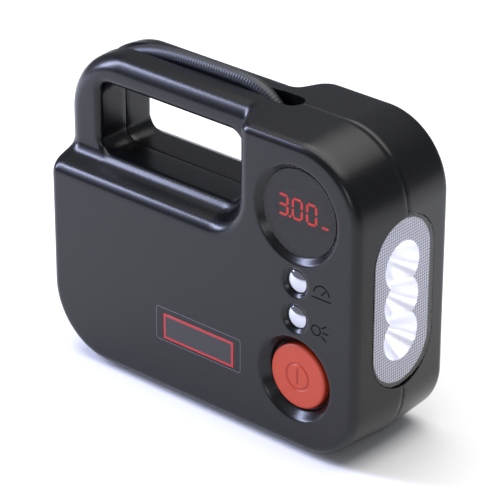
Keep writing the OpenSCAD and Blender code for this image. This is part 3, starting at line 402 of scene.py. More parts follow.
# One half of the case as a sheet over the layout, with the hose groove joined on along its mouth.
def halfShell(name, sign, dishes, holes):
    outline = outlineLoop(spacing["outline"], nearStep)
    _, out, foot = fromOutline(outline)
    level = faceLevel(foot)
    r, di = rimOf(level)
    width, depth, floor, grooveR = grooveShape(foot)
    full = (level - r - width) * wallSqueeze
    lampReach = lamp["radius"] + lamp["half"]
    onLamp = (foot[:, 0] > case["right"] - 0.01) & (np.abs(foot[:, 1] - lamp["z"]) < lampReach)
    rows = [outline + out * (-di - r * (1 - t))[:, None] for t in rimSteps]
    for t in spacing["wallRows"]:
        rows.append(outline + out * (-di + full * t)[:, None])
    for k in spacing["seamRows"]:
        rows.append(outline + out * (-di + full - k * wallSqueeze)[:, None])
    edge = edgeLine = outline + out * (-di + full)[:, None]
    # the right wall's layout is cut by half of the lamp opening
    stadium = lampHalfLoop(0)
    cut = wallLayout(stadium[:, 0], stadium[:, 1])
    first, last = np.nonzero(onLamp)[0][[0, -1]]
    edge = np.concatenate([edge[:first], cut, edge[last + 1:]])
    inner = []
    for grow in spacing["lampRows"]:
        s = lampHalfLoop(grow)
        s = s[s[:, 0] > 1]
        inner.append(wallLayout(s[:, 0], s[:, 1]))
    free = [np.concatenate(rows)]
    lay = free[0]
    wallY = case["face"] - case["edge"] - (lay[:, 0] - case["right"] + case["draft"]) / wallSqueeze
    dz = np.maximum(np.abs(lay[:, 1] - lamp["z"]) - lamp["half"], 0)
    inLamp = (lay[:, 0] > case["right"] - 3) & (np.hypot(np.maximum(wallY, 0), dz) < lamp["radius"] + 0.4)
    free = [lay[~inLamp]] + inner
    loops = [edge]
    x0, x1, z0, z1 = case["gap"]
    gapBase = splitLoop(roundedBox(x0, x1, z0, z1, case["gapCorner"], 11), spacing["gap"])
    _, into = fromGap(gapBase)
    ge = gapEdgeOf(into)
    for t in gapSteps:
        free.append(gapBase - into * (ge * (1 - t))[:, None])
    for t in spacing["gapRows"]:
        free.append(gapBase + into * gapWallRows * t)
    loops.append(gapBase + into * gapWallRows)
    clear = []
    for x, z, rho, _ in dishes:
        n = int(np.clip(rho[-1] * 5, 48, 112))
        for rr in rho[1:]:
            free.append(ringPoints(x, z, rr, n))
        loops.append(ringPoints(x, z, rho[0], n))
        for extra in spacing["dishRows"]:
            free.append(ringPoints(x, z, rho[-1] + extra, n // 2))
        clear.append((x, z, rho[-1] + 3.6))
    loops += holes
    # the faces are filled by a triangular grid, fine across the step and coarse elsewhere
    fine, coarse = triGrid(spacing["fine"]), triGrid(spacing["coarse"])
    fine = fine[np.abs(pastStep(fine)) < spacing["fineTo"]]
    coarse = coarse[np.abs(pastStep(coarse)) > spacing["coarseFrom"]]
    for grid in (fine, coarse):
        inset, _, gf = fromOutline(grid)
        rr, dd = rimOf(faceLevel(gf))
        g, gi = fromGap(grid)
        keep = (inset > rr + dd + spacing["clear"]) & (g > gapEdgeOf(gi) + spacing["clear"])
        for x, z, rad in clear:
            keep &= np.hypot(grid[:, 0] - x, grid[:, 1] - z) > rad
        for hole in holes:
            keep &= (np.abs(grid - hole.mean(0)) >= np.ptp(hole, axis=0) / 2 + 0.8).any(1)
        free.append(grid[keep])
    points = np.concatenate(loops + free)
    edges, start = [], 0
    for loop in loops:
        n = len(loop)
        i = np.arange(n)
        edges.append(np.stack([start + i, start + (i + 1) % n], 1))
        start += n
    corners = [Vector(p) for p in points.tolist()]
    co, _, tris, *_ = delaunay_2d_cdt(corners, np.concatenate(edges).tolist(), [], 0, 1e-4, False)
    flat = np.array([tuple(v) for v in co])
    tris = np.array(tris)
    mid = flat[tris].mean(1)
    keep = insideLoop(mid, edge)
    for loop in loops[1:]:
        keep &= ~insideLoop(mid, loop)
    tris = tris[keep]
    lifted = liftHalf(flat, dishes)
    a, b, c = (flat[tris[:, k]] for k in range(3))
    ccw = (b[:, 0] - a[:, 0]) * (c[:, 1] - a[:, 1]) - (b[:, 1] - a[:, 1]) * (c[:, 0] - a[:, 0]) > 0
    tris = np.where(ccw[:, None], tris, tris[:, ::-1])
    # the hose groove: across it a wall and a quarter round, along it the outline
    on = np.nonzero(width > 0)[0]
    start = on[np.argmax(np.diff(np.concatenate([[on[-1] - len(outline)], on])) > 1)]
    on = (start + np.arange(len(on))) % len(outline)
    mouth = liftHalf(edgeLine[on], dishes)
    w, dep, flo, gr = (v[on] for v in (width, depth, floor, grooveR))
    f2, o2 = foot[on], out[on]
    theta0 = np.arcsin(np.clip(-dep / gr, 0, 0.95))
    deep = np.where(f2[:, 0] > groove["pocketWall"], flo - groove["pocketRadius"], np.maximum(dep, 0))
    deep, dep, gr, wide = (v[:, None] for v in (deep, dep, gr, w))
    bend = gr * (np.pi / 2 - theta0[:, None])
    run = np.linspace(0, 1, 15)[None, :] * (deep + bend)  # length down the wall and round the floor
    ang = theta0[:, None] + np.clip((run - deep) / bend, 0, 1) * (np.pi / 2 - theta0[:, None])
    wallRise = np.minimum(run, deep) + (flo[:, None] - deep) * np.sin(ang)
    rise = np.where(dep >= 0, wallRise, dep + gr * np.sin(ang))
    across = np.minimum(np.where(dep >= 0, wide, gr) * np.cos(ang), wide)
    px = f2[:, None, :] - o2[:, None, :] * rise[..., None]
    trough = np.stack([px[..., 0], across, px[..., 1]], -1)
    trough[:, 0] = mouth
    quads = gridFaces(*trough.shape[:2]) + len(lifted)
    allPoints = np.concatenate([lifted, trough.reshape(-1, 3)])
    allTris = np.concatenate([tris, quads[:, [0, 1, 2]], quads[:, [0, 2, 3]]])
    allPoints[:, 1] *= sign
    if sign > 0:
        allTris = allTris[:, ::-1]
    obj = addMesh(name, allPoints, allTris, 180)
    mergePoints(obj, 0.03)
    obj.data.set_sharp_from_angle(angle=math.radians(38))
    markBoundary(obj.data)
    solid = obj.modifiers.new("wall", "SOLIDIFY")
    solid.thickness, solid.offset, solid.use_even_offset = case["wall"] * mm, -1, False
    return obj


# Even-odd test of points p against a closed loop, a whole column of points at a time.
def insideLoop(p, loop):
    inside = np.zeros(len(p), bool)
    for (x0, z0), (x1, z1) in zip(loop, np.roll(loop, -1, 0)):
        crosses = (z0 > p[:, 1]) != (z1 > p[:, 1])
        if z0 != z1:
            inside ^= crosses & (p[:, 0] < (x1 - x0) * (p[:, 1] - z0) / (z1 - z0) + x0)
    return inside


# A round recess: its bore's radius, its floor's radius, its mouth's radius and its depth.
def dish(x, z, bore, floor, top, depth, below=3.0):
    slope = np.linspace(floor, top - 0.5, 6)
    rho = np.concatenate([[bore, bore + 0.12, bore + 0.4], slope, [top - 0.1, top + 0.4, top + 0.9]])
    fall = depth * (1 - (slope - floor) / (top - floor))
    drop = np.concatenate([[depth + below, depth + 0.25, depth + 0.04], fall,
                           [fall[-1] * 0.45, fall[-1] * 0.12, 0]])
    keep = np.concatenate([[True], np.diff(rho) > 0.05])
    return x, z, rho[keep], drop[keep]


# middle of the controls' column and the height of each control
column = {"x": 68.6, "display": 140.2, "unit": 101.4, "lamp": 80.6, "power": 44.7}
badge = {"x": (-25.0, 26.0), "z": (35.25, 50.75), "gap": 0.25, "corner": 1.2, "frame": 1.6, "field": "#1C1B20"}
frontDishes = [
    dish(column["x"], column["display"], 24.5, 24.9, 28.0, 3.0),
    dish(column["x"], column["unit"], 6.6, 7.0, 8.8, 1.6),
    dish(column["x"], column["lamp"], 6.6, 7.0, 8.8, 1.6),
    dish(column["x"], column["power"], 18.9, 19.6, 24.7, 6.0),
]
(bx0, bx1), (bz0, bz1) = badge["x"], badge["z"]
gap = badge["gap"]
badgeHole = splitLoop(roundedBox(bx0 - gap, bx1 + gap, bz0 - gap, bz1 + gap, badge["corner"]), spacing["hole"])
frontSkin = halfShell("frontShellSkin", -1, frontDishes, [badgeHole])
print("front shell made")

# screw heads sink into seats in the back, between the ports' opening and the vents
screws = [(-97, 50), (-5, 9.4), (100, 30), (98, 156), (20, 108.2), (50, 172), (-94.4, 130), (-20, 169.5)]
seat = {"bore": 1.9, "radius": 3.3, "depth": 13.9}
backDishes = [(x, z, np.array([seat["bore"], seat["radius"] - 0.1, seat["radius"], seat["radius"] + 0.35]),
               np.array([seat["depth"], seat["depth"], 0.35, 0])) for x, z in screws]
ports = {"x": (-80, -24), "z": (23, 54), "corner": 1.0}
vents = {"x": 50, "pitch": 6, "count": 7, "width": 2.2, "z": (92.1, 118.1)}
backHoles = [splitLoop(roundedBox(*ports["x"], *ports["z"], ports["corner"]), spacing["hole"])]
for k in range(vents["count"]):
    x, half = vents["x"] + k * vents["pitch"], vents["width"] / 2
    backHoles.append(splitLoop(roundedBox(x - half, x + half, *vents["z"], half - 0.01), spacing["hole"]))
backSkin = halfShell("backShellSkin", 1, backDishes, backHoles)
print("back shell made")

hose = {
    # the real cover is woven more finely than would show, so it is drawn as ribs round the hose
    "radius": 4.1, "rib": 0.19, "ribPitch": 1.8,
    "perRib": 7, "around": 28, "smooth": 24,
}


# Catmull-Rom curve through the points, per steps between each pair.
def curvePoints(points, per):
    p = np.vstack([2 * points[0] - points[1], points, 2 * points[-1] - points[-2]])
    t = np.linspace(0, 1, per, endpoint=False)[:, None]
    rows = []
    for a, b, c, d in zip(p[:-3], p[1:-2], p[2:-1], p[3:]):
        bend = (2 * a - 5 * b + 4 * c - d) * t ** 2 + (3 * b - a - 3 * c + d) * t ** 3
        rows.append(0.5 * (2 * b + (c - a) * t + bend))
    return np.vstack(rows + [points[-1:]])


# Tube along the route; over each rib its radius rises and falls as the root of a sine of the length.
def hoseTube(name):
    line = curvePoints(np.stack([route[:, 0], 0 * route[:, 0], route[:, 1]], 1), hose["smooth"])
    run = np.concatenate([[0], np.cumsum(np.linalg.norm(np.diff(line, axis=0), axis=1))])
    n = int(run[-1] / hose["ribPitch"] * hose["perRib"])
    s = np.linspace(0, run[-1], n)
    c = np.stack([np.interp(s, run, line[:, k]) for k in range(3)], 1)
    ahead = np.gradient(c, axis=0)
    ahead /= np.linalg.norm(ahead, axis=1)[:, None]
    side = np.tile([0.0, 1.0, 0.0], (n, 1))  # the route lies in the plane y = 0
    over = np.cross(ahead, side)
    k = hose["around"]
    a = np.linspace(0, 2 * np.pi, k, endpoint=False)[:, None]
    bulge = np.sqrt(np.abs(np.sin(np.pi * s / hose["ribPitch"])))
    r = (hose["radius"] + hose["rib"] * bulge)[:, None, None]
    ring = c[:, None, :] + r * (np.cos(a) * side[:, None, :] + np.sin(a) * over[:, None, :])
    points = np.concatenate([ring.reshape(-1, 3), c[[0, -1]]])
    faces = gridFaces(n, k, closeCols=True).tolist()
    j = np.arange(k)
    nextJ, last = (j + 1) % k, (n - 1) * k
    faces += np.stack([nextJ, j, 0 * j + n * k], 1).tolist()
    faces += np.stack([0 * j + n * k + 1, last + j, last + nextJ], 1).tolist()
    obj = addMesh(name, points, faces, 60)
    mergePoints(obj, 0.001, recalculate=True)
    return obj


airHose = hoseTube("airHoseRibbed")
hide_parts("air_hose")
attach(airHose, "housing")

powerCap = {
    "radius": 18.6, "front": -34.5, "edge": 1.6, "ring": 7.5, "line": 1.5, "cut": 0.55,
    "bar": 4.2,  # half length of the engraved bar
    "trenchFloor": 0.28, "trenchSide": 0.35,  # shares of the engraved line's width
    "wall": 2.2, "stem": 2.5, "flange": 1.5,
    "travel": 2.0, "clear": 0.2,  # pressed, its stem ends this far from the switch
    "faceRows": 68, "around": 200,
}


# Round cap on a grid of radius and angle; the engraving is a smooth trench along a ring and a bar.
def powerButton(name):
    r0, e, f = powerCap["radius"], powerCap["edge"], powerCap["front"]
    rows = [(r, 0.0) for r in np.linspace(0, r0 - e, powerCap["faceRows"])]
    rows += [(r0 - e + e * math.sin(t), e * (1 - math.cos(t))) for t in np.radians([15, 30, 45, 60, 75, 90])]
    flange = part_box("power_button")
    back = flange[1][1] / mm
    rim = (flange[1][0] - flange[0][0]) / 2 / mm
    # behind the face the cap is a cup with a stem, which stays clear of its switch over the whole travel
    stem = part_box("tact_switches")[0][1] / mm - powerCap["travel"] - powerCap["clear"] - f
    wall, stemR, flangeY = powerCap["wall"], powerCap["stem"], back - powerCap["flange"] - f
    rows += [(r0, flangeY), (rim, flangeY), (rim, back - f)]
    rows += [(r0 - wall, back - f), (r0 - wall, wall), (stemR, wall)]
    rows += [(stemR, stem), (0, stem)] if stem > wall + 0.5 else [(0, wall)]
    r, y = np.array(rows).T
    a = np.linspace(0, 2 * np.pi, powerCap["around"], endpoint=False)
    x, z = np.outer(r, np.cos(a)), np.outer(r, np.sin(a))
    depth = np.repeat(y[:, None], len(a), 1)
    ring = np.abs(np.hypot(x, z) - powerCap["ring"])
    bar = np.hypot(x, np.maximum(np.abs(z) - powerCap["bar"], 0))
    near = np.minimum(ring, bar)
    line = powerCap["line"]
    up = smoothStep((near - line * powerCap["trenchFloor"]) / (line * powerCap["trenchSide"]))
    trench = powerCap["cut"] * (1 - up)
    onFace = (np.arange(len(r)) < powerCap["faceRows"])[:, None]
    depth = depth + np.where(onFace, trench, 0)
    points = np.stack([x + column["x"], f + depth, z + column["power"]], -1).reshape(-1, 3)
    obj = addMesh(name, points, gridFaces(len(r), len(a), closeCols=True), 50)
    mergePoints(obj, 0.005, recalculate=True)
    return obj


powerPiece = powerButton("powerButtonCap")
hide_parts("power_button")
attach(powerPiece, "power_key")
print("power button made")

spring = {
    "wire": 0.6, "turns": 4.0, "perTurn": 36, "around": 10,
    "spare": 0.3,  # it shortens by this much more than the button moves
}


# Round wire along a helix whose pitch falls to nothing at both ends, so that its end turns lie flat.
def coilSpring(name):
    lo, hi = (np.array(v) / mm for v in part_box("power_spring"))
    wire = spring["wire"]
    r = (hi[0] - lo[0]) / 2 - wire
    n = int(spring["turns"] * spring["perTurn"]) + 1
    t = np.linspace(0, 1, n)
    a = t * spring["turns"] * 2 * np.pi
    y = lo[1] + wire + (hi[1] - lo[1] - 2 * wire) * smoothStep(t)
    c = np.stack([column["x"] + r * np.cos(a), y, column["power"] + r * np.sin(a)], 1)
    outward = np.stack([np.cos(a), 0 * a, np.sin(a)], 1)
    ahead = np.gradient(c, axis=0)
    ahead /= np.linalg.norm(ahead, axis=1)[:, None]
    up = np.cross(ahead, outward)
    k = spring["around"]
    b = np.linspace(0, 2 * np.pi, k, endpoint=False)[:, None]
    ring = c[:, None, :] + wire * (np.cos(b) * outward[:, None, :] + np.sin(b) * up[:, None, :])
    faces = gridFaces(n, k, closeCols=True).tolist() + [list(range(k)), list(range((n - 1) * k, n * k))]
    obj = addMesh(name, ring.reshape(-1, 3), faces, 60)
    mergePoints(obj, 0.001, recalculate=True)
    return obj


springPiece = coilSpring("powerSpringCoil")
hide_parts("power_spring")
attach(springPiece, "housing")
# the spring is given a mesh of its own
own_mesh(springPiece)
print("spring made")

# the prints, and the painted highlight line round the badge, lie on the front face: how far they stand out,
# reach in and how wide their lines are
printed = {"y": -37.5, "lift": 0.06, "sink": 0.05, "line": 0.7, "border": 0.35}


# Flat strokes for the prints and the painted highlight line: each is a row of points in x and z, widened to
# both sides and given a thickness.
def raisedLines(name, strokes, width):
    points, faces = [], []
    for stroke in strokes:
        p = np.asarray(stroke, float)
        closed = np.allclose(p[0], p[-1])
        t = np.gradient(p, axis=0)
        if closed:
            t[0] = t[-1] = p[1] - p[-2]
        t /= np.linalg.norm(t, axis=1)[:, None] + 1e-9
        side = np.stack([-t[:, 1], t[:, 0]], 1) * width / 2
        if not closed:
            p[0] -= t[0] * width / 2
            p[-1] += t[-1] * width / 2
        a, b = p + side, p - side
        front, back = printed["y"] - printed["lift"], printed["y"] + printed["sink"]
        ring = np.stack([np.insert(a, 1, front, 1), np.insert(b, 1, front, 1),
                         np.insert(b, 1, back, 1), np.insert(a, 1, back, 1)], 1)
        start, n = sum(len(q) for q in points), len(p)
        points.append(ring.reshape(-1, 3))
        faces += (gridFaces(n, 4, closeCols=True) + start).tolist()
        if not closed:
            faces += [[start + k for k in (0, 1, 2, 3)], [start + 4 * (n - 1) + k for k in (3, 2, 1, 0)]]
    obj = addMesh(name, np.concatenate(points), faces, 30)
    mergePoints(obj, 0.001, recalculate=True)
    return obj


# n points of a circle's arc, closed unless told otherwise; angles in degrees.
def around(x, z, r, start=0, end=360, n=40):
    a = np.radians(np.linspace(start, end, n))
    return np.stack([x + r * np.cos(a), z + r * np.sin(a)], 1)


gauge = {"x": 86.5, "z": column["unit"] - 1.0, "radius": 5.2}
gaugeGlyph = raisedLines("gaugePrint", [
    around(gauge["x"], gauge["z"], gauge["radius"], 10, 170, 30),
    [(gauge["x"], gauge["z"]), (gauge["x"] + 2.6, gauge["z"] + 3.0)],
    [(gauge["x"] - 6.2, gauge["z"] - 2.4), (gauge["x"] + 6.2, gauge["z"] - 2.4)],
], printed["line"])
lampMark = {"x": 83.2, "z": column["lamp"] - 1.6, "radius": 2.9, "rays": (4.6, 8.0)}
rays = [[(lampMark["x"] + r * math.cos(t), lampMark["z"] + r * math.sin(t)) for r in lampMark["rays"]]
        for t in np.radians([-32, 0, 32])]
bulb = around(lampMark["x"], lampMark["z"], lampMark["radius"])
lampGlyph = raisedLines("lampPrint", [bulb] + rays, printed["line"])
# round the badge a thin grey line: a painted highlight standing for the edge of an embossed outline
border = {"x": (-30.0, 31.0), "z": (34.0, 54.0), "corner": 1.5}
borderLoop = splitLoop(roundedBox(*border["x"], *border["z"], border["corner"]), 3)
badgeBorder = raisedLines("badgeBorder", [np.vstack([borderLoop, borderLoop[:1]])], printed["border"])
for piece in (gaugeGlyph, lampGlyph, badgeBorder):
    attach(piece, "housing")
print("prints made")


# Joins a CAD node's loose triangles and rounds its sharp edges.
def soften(name, width):
    obj = nodes[name]
    weld = obj.modifiers.new("weld", "WELD")
    weld.merge_threshold = 0.01 * mm
    bevel = obj.modifiers.new("bevel", "BEVEL")
    bevel.width, bevel.segments = width * mm, 2
    bevel.limit_method, bevel.angle_limit = "ANGLE", math.radians(40)


softEdges = {"port_cover": 0.4, "port_frame": 0.25, "badge_plate": 0.15}  # bevel in mm
for name, width in softEdges.items():
    soften(name, width)
print("edges softened")


# Linear colour from sRGB hex, by the two-piece sRGB curve.
def toLinear(hexColour):
    c = np.array([int(hexColour[k:k + 2], 16) for k in (1, 3, 5)]) / 255
    return [*np.where(c <= 0.04045, c / 12.92, ((c + 0.055) / 1.055) ** 2.4).tolist(), 1.0]


# Adds one shader node, sets its properties and fills or links its inputs.
def addNode(tree, kind, inputs=(), **settings):
    node = tree.nodes.new(kind)
    for key, value in settings.items():
        setattr(node, key, value)
    for key, value in dict(inputs).items():
        if isinstance(value, bpy.types.NodeSocket):
            tree.links.new(value, node.inputs[key])
        else:
            node.inputs[key].default_value = value
    return node


# Each row: colour, metallic, roughness, index of refraction (metals keep the default 1.5), size of the grain
# and height of its bump in mm, spread of the roughness. The real grain of moulded plastic is about 0.1 mm
# and would not show; it is drawn at 0.5 mm and more.
finishes = {
    "satinMouldedAbs": ("#08090C", 0, 0.27, 1.53, 0.5, 0.010, 0.05),  # near black, soft broad highlights
    "innerAbs": ("#0B0C0E", 0, 0.6, 1.5, 0.7, 0.0, 0.05),  # dull black inside the case
    "rubberMoulded": ("#101112", 0, 0.7, 1.52, 0.8, 0.03, 0.08),  # matt black, no highlight
    "hoseRubberRibbed": ("#181B22", 0, 0.42, 1.52, 0.9, 0.02, 0.08),  # dark grey, faint sheen on each rib
    "printedBadge": ("#A8141E", 0, 0.3, 1.5, 0.3, 0.004, 0.08),  # smooth print, half gloss
    "smokedAcrylic": ("#07070A", 0, 0.05, 1.49, 9.0, 0.0, 0.02),  # dark window, sharp reflections
    "litDigits": ("#F01E16", 0, 0.4, 1.5, 1.0, 0.0, 0.05),  # red glow
    "orangeSiliconeCap": ("#B83818", 0, 0.42, 1.5, 0.6, 0.012, 0.06),  # soft orange, broad dull highlight
    "chromedCap": ("#C2C4CE", 1, 0.1, 1.5, 3.0, 0.0, 0.04),  # mirror, bright above and dark below
    "clearPolycarbonate": ("#FAFAFF", 0, 0.02, 1.585, 3.0, 0.0, 0.03),  # clear, sharp reflections
    "vacuumMetalReflector": ("#F4F4FA", 1, 0.3, 1.5, 3.0, 0.0, 0.06),  # bright bowls with a painted glow, soft streaks
    "phosphorLed": ("#FFF6D8", 0, 0.4, 1.5, 0.5, 0.0, 0.05),  # pale yellow, glowing
    "boardWhiteMask": ("#D9DAD6", 0, 0.5, 1.5, 2.0, 0.01, 0.05),  # white solder mask, half gloss
    "boardGreenMask": ("#24623B", 0, 0.4, 1.5, 2.0, 0.01, 0.05),  # green solder mask, half gloss
    "switchNylon": ("#2A2A2C", 0, 0.5, 1.53, 0.6, 0.01, 0.05),  # dark grey, half matt
    "springSteelDrawn": ("#A9ABB0", 1, 0.3, 1.5, 0.4, 0.003, 0.08),  # bright drawn wire
    "zincPlatedSteel": ("#B9BCC2", 1, 0.34, 1.5, 0.5, 0.004, 0.1),  # light grey, softly shining
    "pouchFoil": ("#B4B7BE", 1, 0.38, 1.5, 2.5, 0.03, 0.1),  # silver foil, a little wrinkled
    "nickelStrip": ("#BDB9AE", 1, 0.3, 1.5, 0.6, 0.003, 0.08),  # warm grey, shining
    "leadPvc": ("#8E1F1C", 0, 0.45, 1.53, 0.8, 0.01, 0.05),  # red cable cover, half gloss
    "socketBlueNylon": ("#2857A6", 0, 0.45, 1.53, 0.6, 0.01, 0.05),  # blue, half matt
    "pressedSteel": ("#8F9298", 1, 0.4, 1.5, 0.7, 0.005, 0.1),  # mid grey sheet, soft shine
    "laminatedRotor": ("#7B5B46", 1, 0.42, 1.5, 0.35, 0.01, 0.1),  # brown, finely layered
    "turnedBrass": ("#C49A4A", 1, 0.3, 1.5, 0.4, 0.003, 0.08),  # yellow, fine turning marks
    "groundSteel": ("#C2C4C8", 1, 0.22, 1.5, 0.3, 0.002, 0.08),  # bright and smooth
    "gearNylon": ("#E6E1D2", 0, 0.5, 1.53, 0.8, 0.01, 0.05),  # milky white, half matt
    "castAluminium": ("#9DA0A4", 1, 0.5, 1.5, 0.8, 0.03, 0.1),  # matt grey, grainy skin
    "printInk": ("#010102", 0, 0.95, 1.2, 0.4, 0.003, 0.05),  # flat black, almost no shine
    "badgeRimPaintedHighlight": ("#5A5D68", 0, 0.4, 1.5, 0.4, 0.003, 0.05),  # thin grey line, a painted highlight in place of the lit edge of an embossed rim
}
shade = 0.86  # the grain darkens the colour to this share
inputsOf = {  # single values set on the shader itself
    "satinMouldedAbs": {"Specular IOR Level": 0.32},  # the fine texture scatters part of the plain reflection
    "clearPolycarbonate": {"Transmission Weight": 1.0},
    "smokedAcrylic": {"Alpha": 0.62},  # dark, but lets the digits through
    "litDigits": {"Emission Color": toLinear(finishes["litDigits"][0]), "Emission Strength": 4.2},
    "phosphorLed": {"Emission Color": toLinear(finishes["phosphorLed"][0]), "Emission Strength": 2.0},
}


# Grain of one fractal noise: it shades the colour a little, spreads the roughness and gives the bump.
def makeMaterial(name):
    colour, metallic, roughness, ior, grain, bump, spread = finishes[name]
    mat = bpy.data.materials.new(name)
    mat.use_nodes = True
    tree = mat.node_tree
    shader = tree.nodes["Principled BSDF"]
    place = addNode(tree, "ShaderNodeTexCoord").outputs["Object"]
    noise = addNode(tree, "ShaderNodeTexNoise", {"Vector": place, "Scale": 1 / (grain * mm), "Detail": 3.0})
    noise = noise.outputs["Fac"]
    base = toLinear(colour)
    dark = [c * shade for c in base[:3]] + [1.0]
    mix = addNode(tree, "ShaderNodeMix", {0: noise, 6: dark, 7: base}, data_type="RGBA").outputs[2]
    tree.links.new(mix, shader.inputs["Base Color"])
    least, most = roughness - spread / 2, roughness + spread / 2
    rough = addNode(tree, "ShaderNodeMapRange", {0: noise, 3: least, 4: most})
    tree.links.new(rough.outputs[0], shader.inputs["Roughness"])
    shader.inputs["Metallic"].default_value = metallic
    shader.inputs["IOR"].default_value = ior
    if bump:
        out = addNode(tree, "ShaderNodeBump", {"Strength": 0.5, "Distance": bump * mm, "Height": noise})
        tree.links.new(out.outputs["Normal"], shader.inputs["Normal"])
    for key, value in inputsOf.get(name, {}).items():
        shader.inputs[key].default_value = value
    return mat


made = {name: makeMaterial(name) for name in finishes}
reflector = {
    "pitch": 2.4, "low": "#6E7086", "high": "#E9EAF8", "platePaintedGlow": 0.13,  # plate of small diamonds, its light and dark partly painted glints, with a faint painted glow
    "bowl": "#F4F6FF", "bowlPaintedGlow": 0.3, "bowlMetal": 0.9,  # their glow is painted brightness in place of the light the bowls reflect
}


# In front of the bowls a plate of small diamonds, the product of two sine waves crossed at 45 degrees over y
# and z, its light and dark partly painted facet glints; behind its plane the bright bowls, whose glow is
# painted brightness.
def reflectorFace(mat, front):
    tree = mat.node_tree
    shader = tree.nodes["Principled BSDF"]
    place = addNode(tree, "ShaderNodeTexCoord").outputs["Object"]
    part = addNode(tree, "ShaderNodeSeparateXYZ", {"Vector": place}).outputs
    waves, perMetre = [], 2 * math.pi / (reflector["pitch"] * mm * math.sqrt(2))
    for kind in ("ADD", "SUBTRACT"):
        run = addNode(tree, "ShaderNodeMath", {0: part["Y"], 1: part["Z"]}, operation=kind).outputs[0]
        turn = addNode(tree, "ShaderNodeMath", {0: run, 1: perMetre}, operation="MULTIPLY").outputs[0]
        waves.append(addNode(tree, "ShaderNodeMath", {0: turn}, operation="SINE").outputs[0])
    both = addNode(tree, "ShaderNodeMath", {0: waves[0], 1: waves[1]}, operation="MULTIPLY").outputs[0]
    dots = addNode(tree, "ShaderNodeMapRange", {0: both, 1: -0.5, 2: 0.5, 3: 0.0, 4: 1.0}).outputs[0]
    low, high, bowl = (toLinear(reflector[k]) for k in ("low", "high", "bowl"))
    plate = addNode(tree, "ShaderNodeMix", {0: dots, 6: low, 7: high}, data_type="RGBA").outputs[2]
    plane = {0: part["X"], 1: (front - 0.15) * mm}
    ahead = addNode(tree, "ShaderNodeMath", plane, operation="GREATER_THAN").outputs[0]
    colour = addNode(tree, "ShaderNodeMix", {0: ahead, 6: bowl, 7: plate}, data_type="RGBA").outputs[2]
    tree.links.new(colour, shader.inputs["Base Color"])
    tree.links.new(colour, shader.inputs["Emission Color"])
    # the emission on bowls and plate is painted brightness, not a lamp
    for socket, behind, before in (("Emission Strength", reflector["bowlPaintedGlow"], reflector["platePaintedGlow"]),
                                   ("Metallic", reflector["bowlMetal"], 0.0)):
        value = addNode(tree, "ShaderNodeMapRange", {0: ahead, 3: behind, 4: before}).outputs[0]
        tree.links.new(value, shader.inputs[socket])


reflectorFace(made["vacuumMetalReflector"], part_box("lamp_reflector")[1][0] / mm)


# A frame in the print's own colour round a dark field, by the distance to the plate's nearest side.
def badgeFace(mat):
    tree = mat.node_tree
    place = addNode(tree, "ShaderNodeTexCoord").outputs["Object"]
    part = addNode(tree, "ShaderNodeSeparateXYZ", {"Vector": place}).outputs
    sides = []
    for axis, (lo, hi) in (("X", badge["x"]), ("Z", badge["z"])):
        middle, half = (lo + hi) / 2 * mm, (hi - lo) / 2 * mm
        off = addNode(tree, "ShaderNodeMath", {0: part[axis], 1: middle}, operation="SUBTRACT").outputs[0]
        away = addNode(tree, "ShaderNodeMath", {0: off}, operation="ABSOLUTE").outputs[0]
        sides.append(addNode(tree, "ShaderNodeMath", {0: half, 1: away}, operation="SUBTRACT").outputs[0])
    least = addNode(tree, "ShaderNodeMath", {0: sides[0], 1: sides[1]}, operation="MINIMUM").outputs[0]
    edge = {0: least, 1: badge["frame"] * mm}
    inside = addNode(tree, "ShaderNodeMath", edge, operation="GREATER_THAN").outputs[0]
    red, field = toLinear(finishes["printedBadge"][0]), toLinear(badge["field"])
    colour = addNode(tree, "ShaderNodeMix", {0: inside, 6: red, 7: field}, data_type="RGBA").outputs[2]
    tree.links.new(colour, tree.nodes["Principled BSDF"].inputs["Base Color"])


badgeFace(made["printedBadge"])

slotFinish = {
    "case_plastic": "satinMouldedAbs", "inner_plastic": "innerAbs", "rubber": "rubberMoulded",
    "hose_rubber": "hoseRubberRibbed", "badge": "printedBadge", "smoked_window": "smokedAcrylic",
    "digit_glow": "litDigits", "power_cap": "orangeSiliconeCap", "chrome_cap": "chromedCap",
    "lens_clear": "clearPolycarbonate", "reflector": "vacuumMetalReflector", "led": "phosphorLed",
    "board_white": "boardWhiteMask", "board_green": "boardGreenMask", "switch_body": "switchNylon",
    "spring_steel": "springSteelDrawn", "zinc_screws": "zincPlatedSteel", "cell_pouch": "pouchFoil",
    "nickel": "nickelStrip", "lead_cover": "leadPvc", "socket_blue": "socketBlueNylon",
    "bracket_steel": "pressedSteel", "motor_steel": "pressedSteel", "rotor": "laminatedRotor",
    "brass": "turnedBrass", "turned_steel": "groundSteel", "gear_nylon": "gearNylon",
    "cast_aluminium": "castAluminium",
}
slotOf = {s["node"]: s["material_slot"] for s in frame["record"]["subparts"]}
for name, obj in nodes.items():
    obj.data.materials.clear()
    obj.data.materials.append(made[slotFinish[slotOf[name]]])
for obj, finish in ((frontSkin, "satinMouldedAbs"), (backSkin, "satinMouldedAbs"),
                    (airHose, "hoseRubberRibbed"), (powerPiece, "orangeSiliconeCap"),
                    (springPiece, "springSteelDrawn"),
                    (gaugeGlyph, "printInk"), (lampGlyph, "printInk"), (badgeBorder, "badgeRimPaintedHighlight")):
    obj.data.materials.append(made[finish])
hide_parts("front_shell")
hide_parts("back_shell")
for obj in (frontSkin, backSkin):
    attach(obj, "housing")
print("materials made")

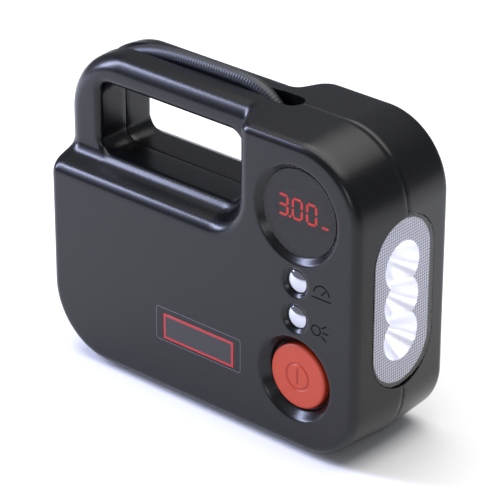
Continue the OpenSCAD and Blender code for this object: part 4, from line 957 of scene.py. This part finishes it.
studio = {
    "floorHalf": 6, "floorColour": (0.9, 0.9, 0.9, 1), "floorRoughness": 0.9,
    "skyColour": (0.9, 0.92, 1.0, 1), "skyStrength": 0.28,
}
lights = {  # place, aim, size in metres, power in watts, colour
    "ceilingBox": ((0, 0.2, 1.8), (0, 0, 0), (2.2, 2.2), 50, (1.0, 0.99, 0.97)),
    "keyBox": ((-1.3, -0.7, 0.9), (0, 0, 0.1), (0.3, 1.1), 38, (0.64, 0.69, 1.0)),  # draws the bluish edges
    "sideBox": ((0.9, -1.4, 0.6), (0, 0, 0.08), (0.4, 0.4), 3, (0.95, 0.96, 1.0)),
}
h = studio["floorHalf"]
floorMesh = bpy.data.meshes.new("floor")
floorMesh.from_pydata([(-h, -h, 0), (h, -h, 0), (h, h, 0), (-h, h, 0)], [], [(0, 1, 2, 3)])
floor = bpy.data.objects.new("floor", floorMesh)
bpy.context.scene.collection.objects.link(floor)
floorMat = bpy.data.materials.new("palePaper")
floorMat.use_nodes = True
floorShader = floorMat.node_tree.nodes["Principled BSDF"]
floorShader.inputs["Base Color"].default_value = studio["floorColour"]
floorShader.inputs["Roughness"].default_value = studio["floorRoughness"]
floorMesh.materials.append(floorMat)

world = bpy.data.worlds.new("softRoom")
bpy.context.scene.world = world
world.use_nodes = True
sky = world.node_tree.nodes["Background"]
sky.inputs["Color"].default_value = studio["skyColour"]
sky.inputs["Strength"].default_value = studio["skyStrength"]


# Rectangular soft box at place, turned to aim; sizes in metres, power in watts.
def softLight(name, place, aim, size, power, colour):
    data = bpy.data.lights.new(name, "AREA")
    data.shape, data.size, data.size_y = "RECTANGLE", *size
    data.energy, data.color = power, colour
    obj = bpy.data.objects.new(name, data)
    bpy.context.scene.collection.objects.link(obj)
    turn = (Vector(aim) - Vector(place)).to_track_quat("-Z", "Y")
    obj.matrix_world = Matrix.Translation(place) @ turn.to_matrix().to_4x4()


for name, light in lights.items():
    softLight(name, *light)
bpy.context.scene.view_settings.view_transform = "Standard"
print("studio made")
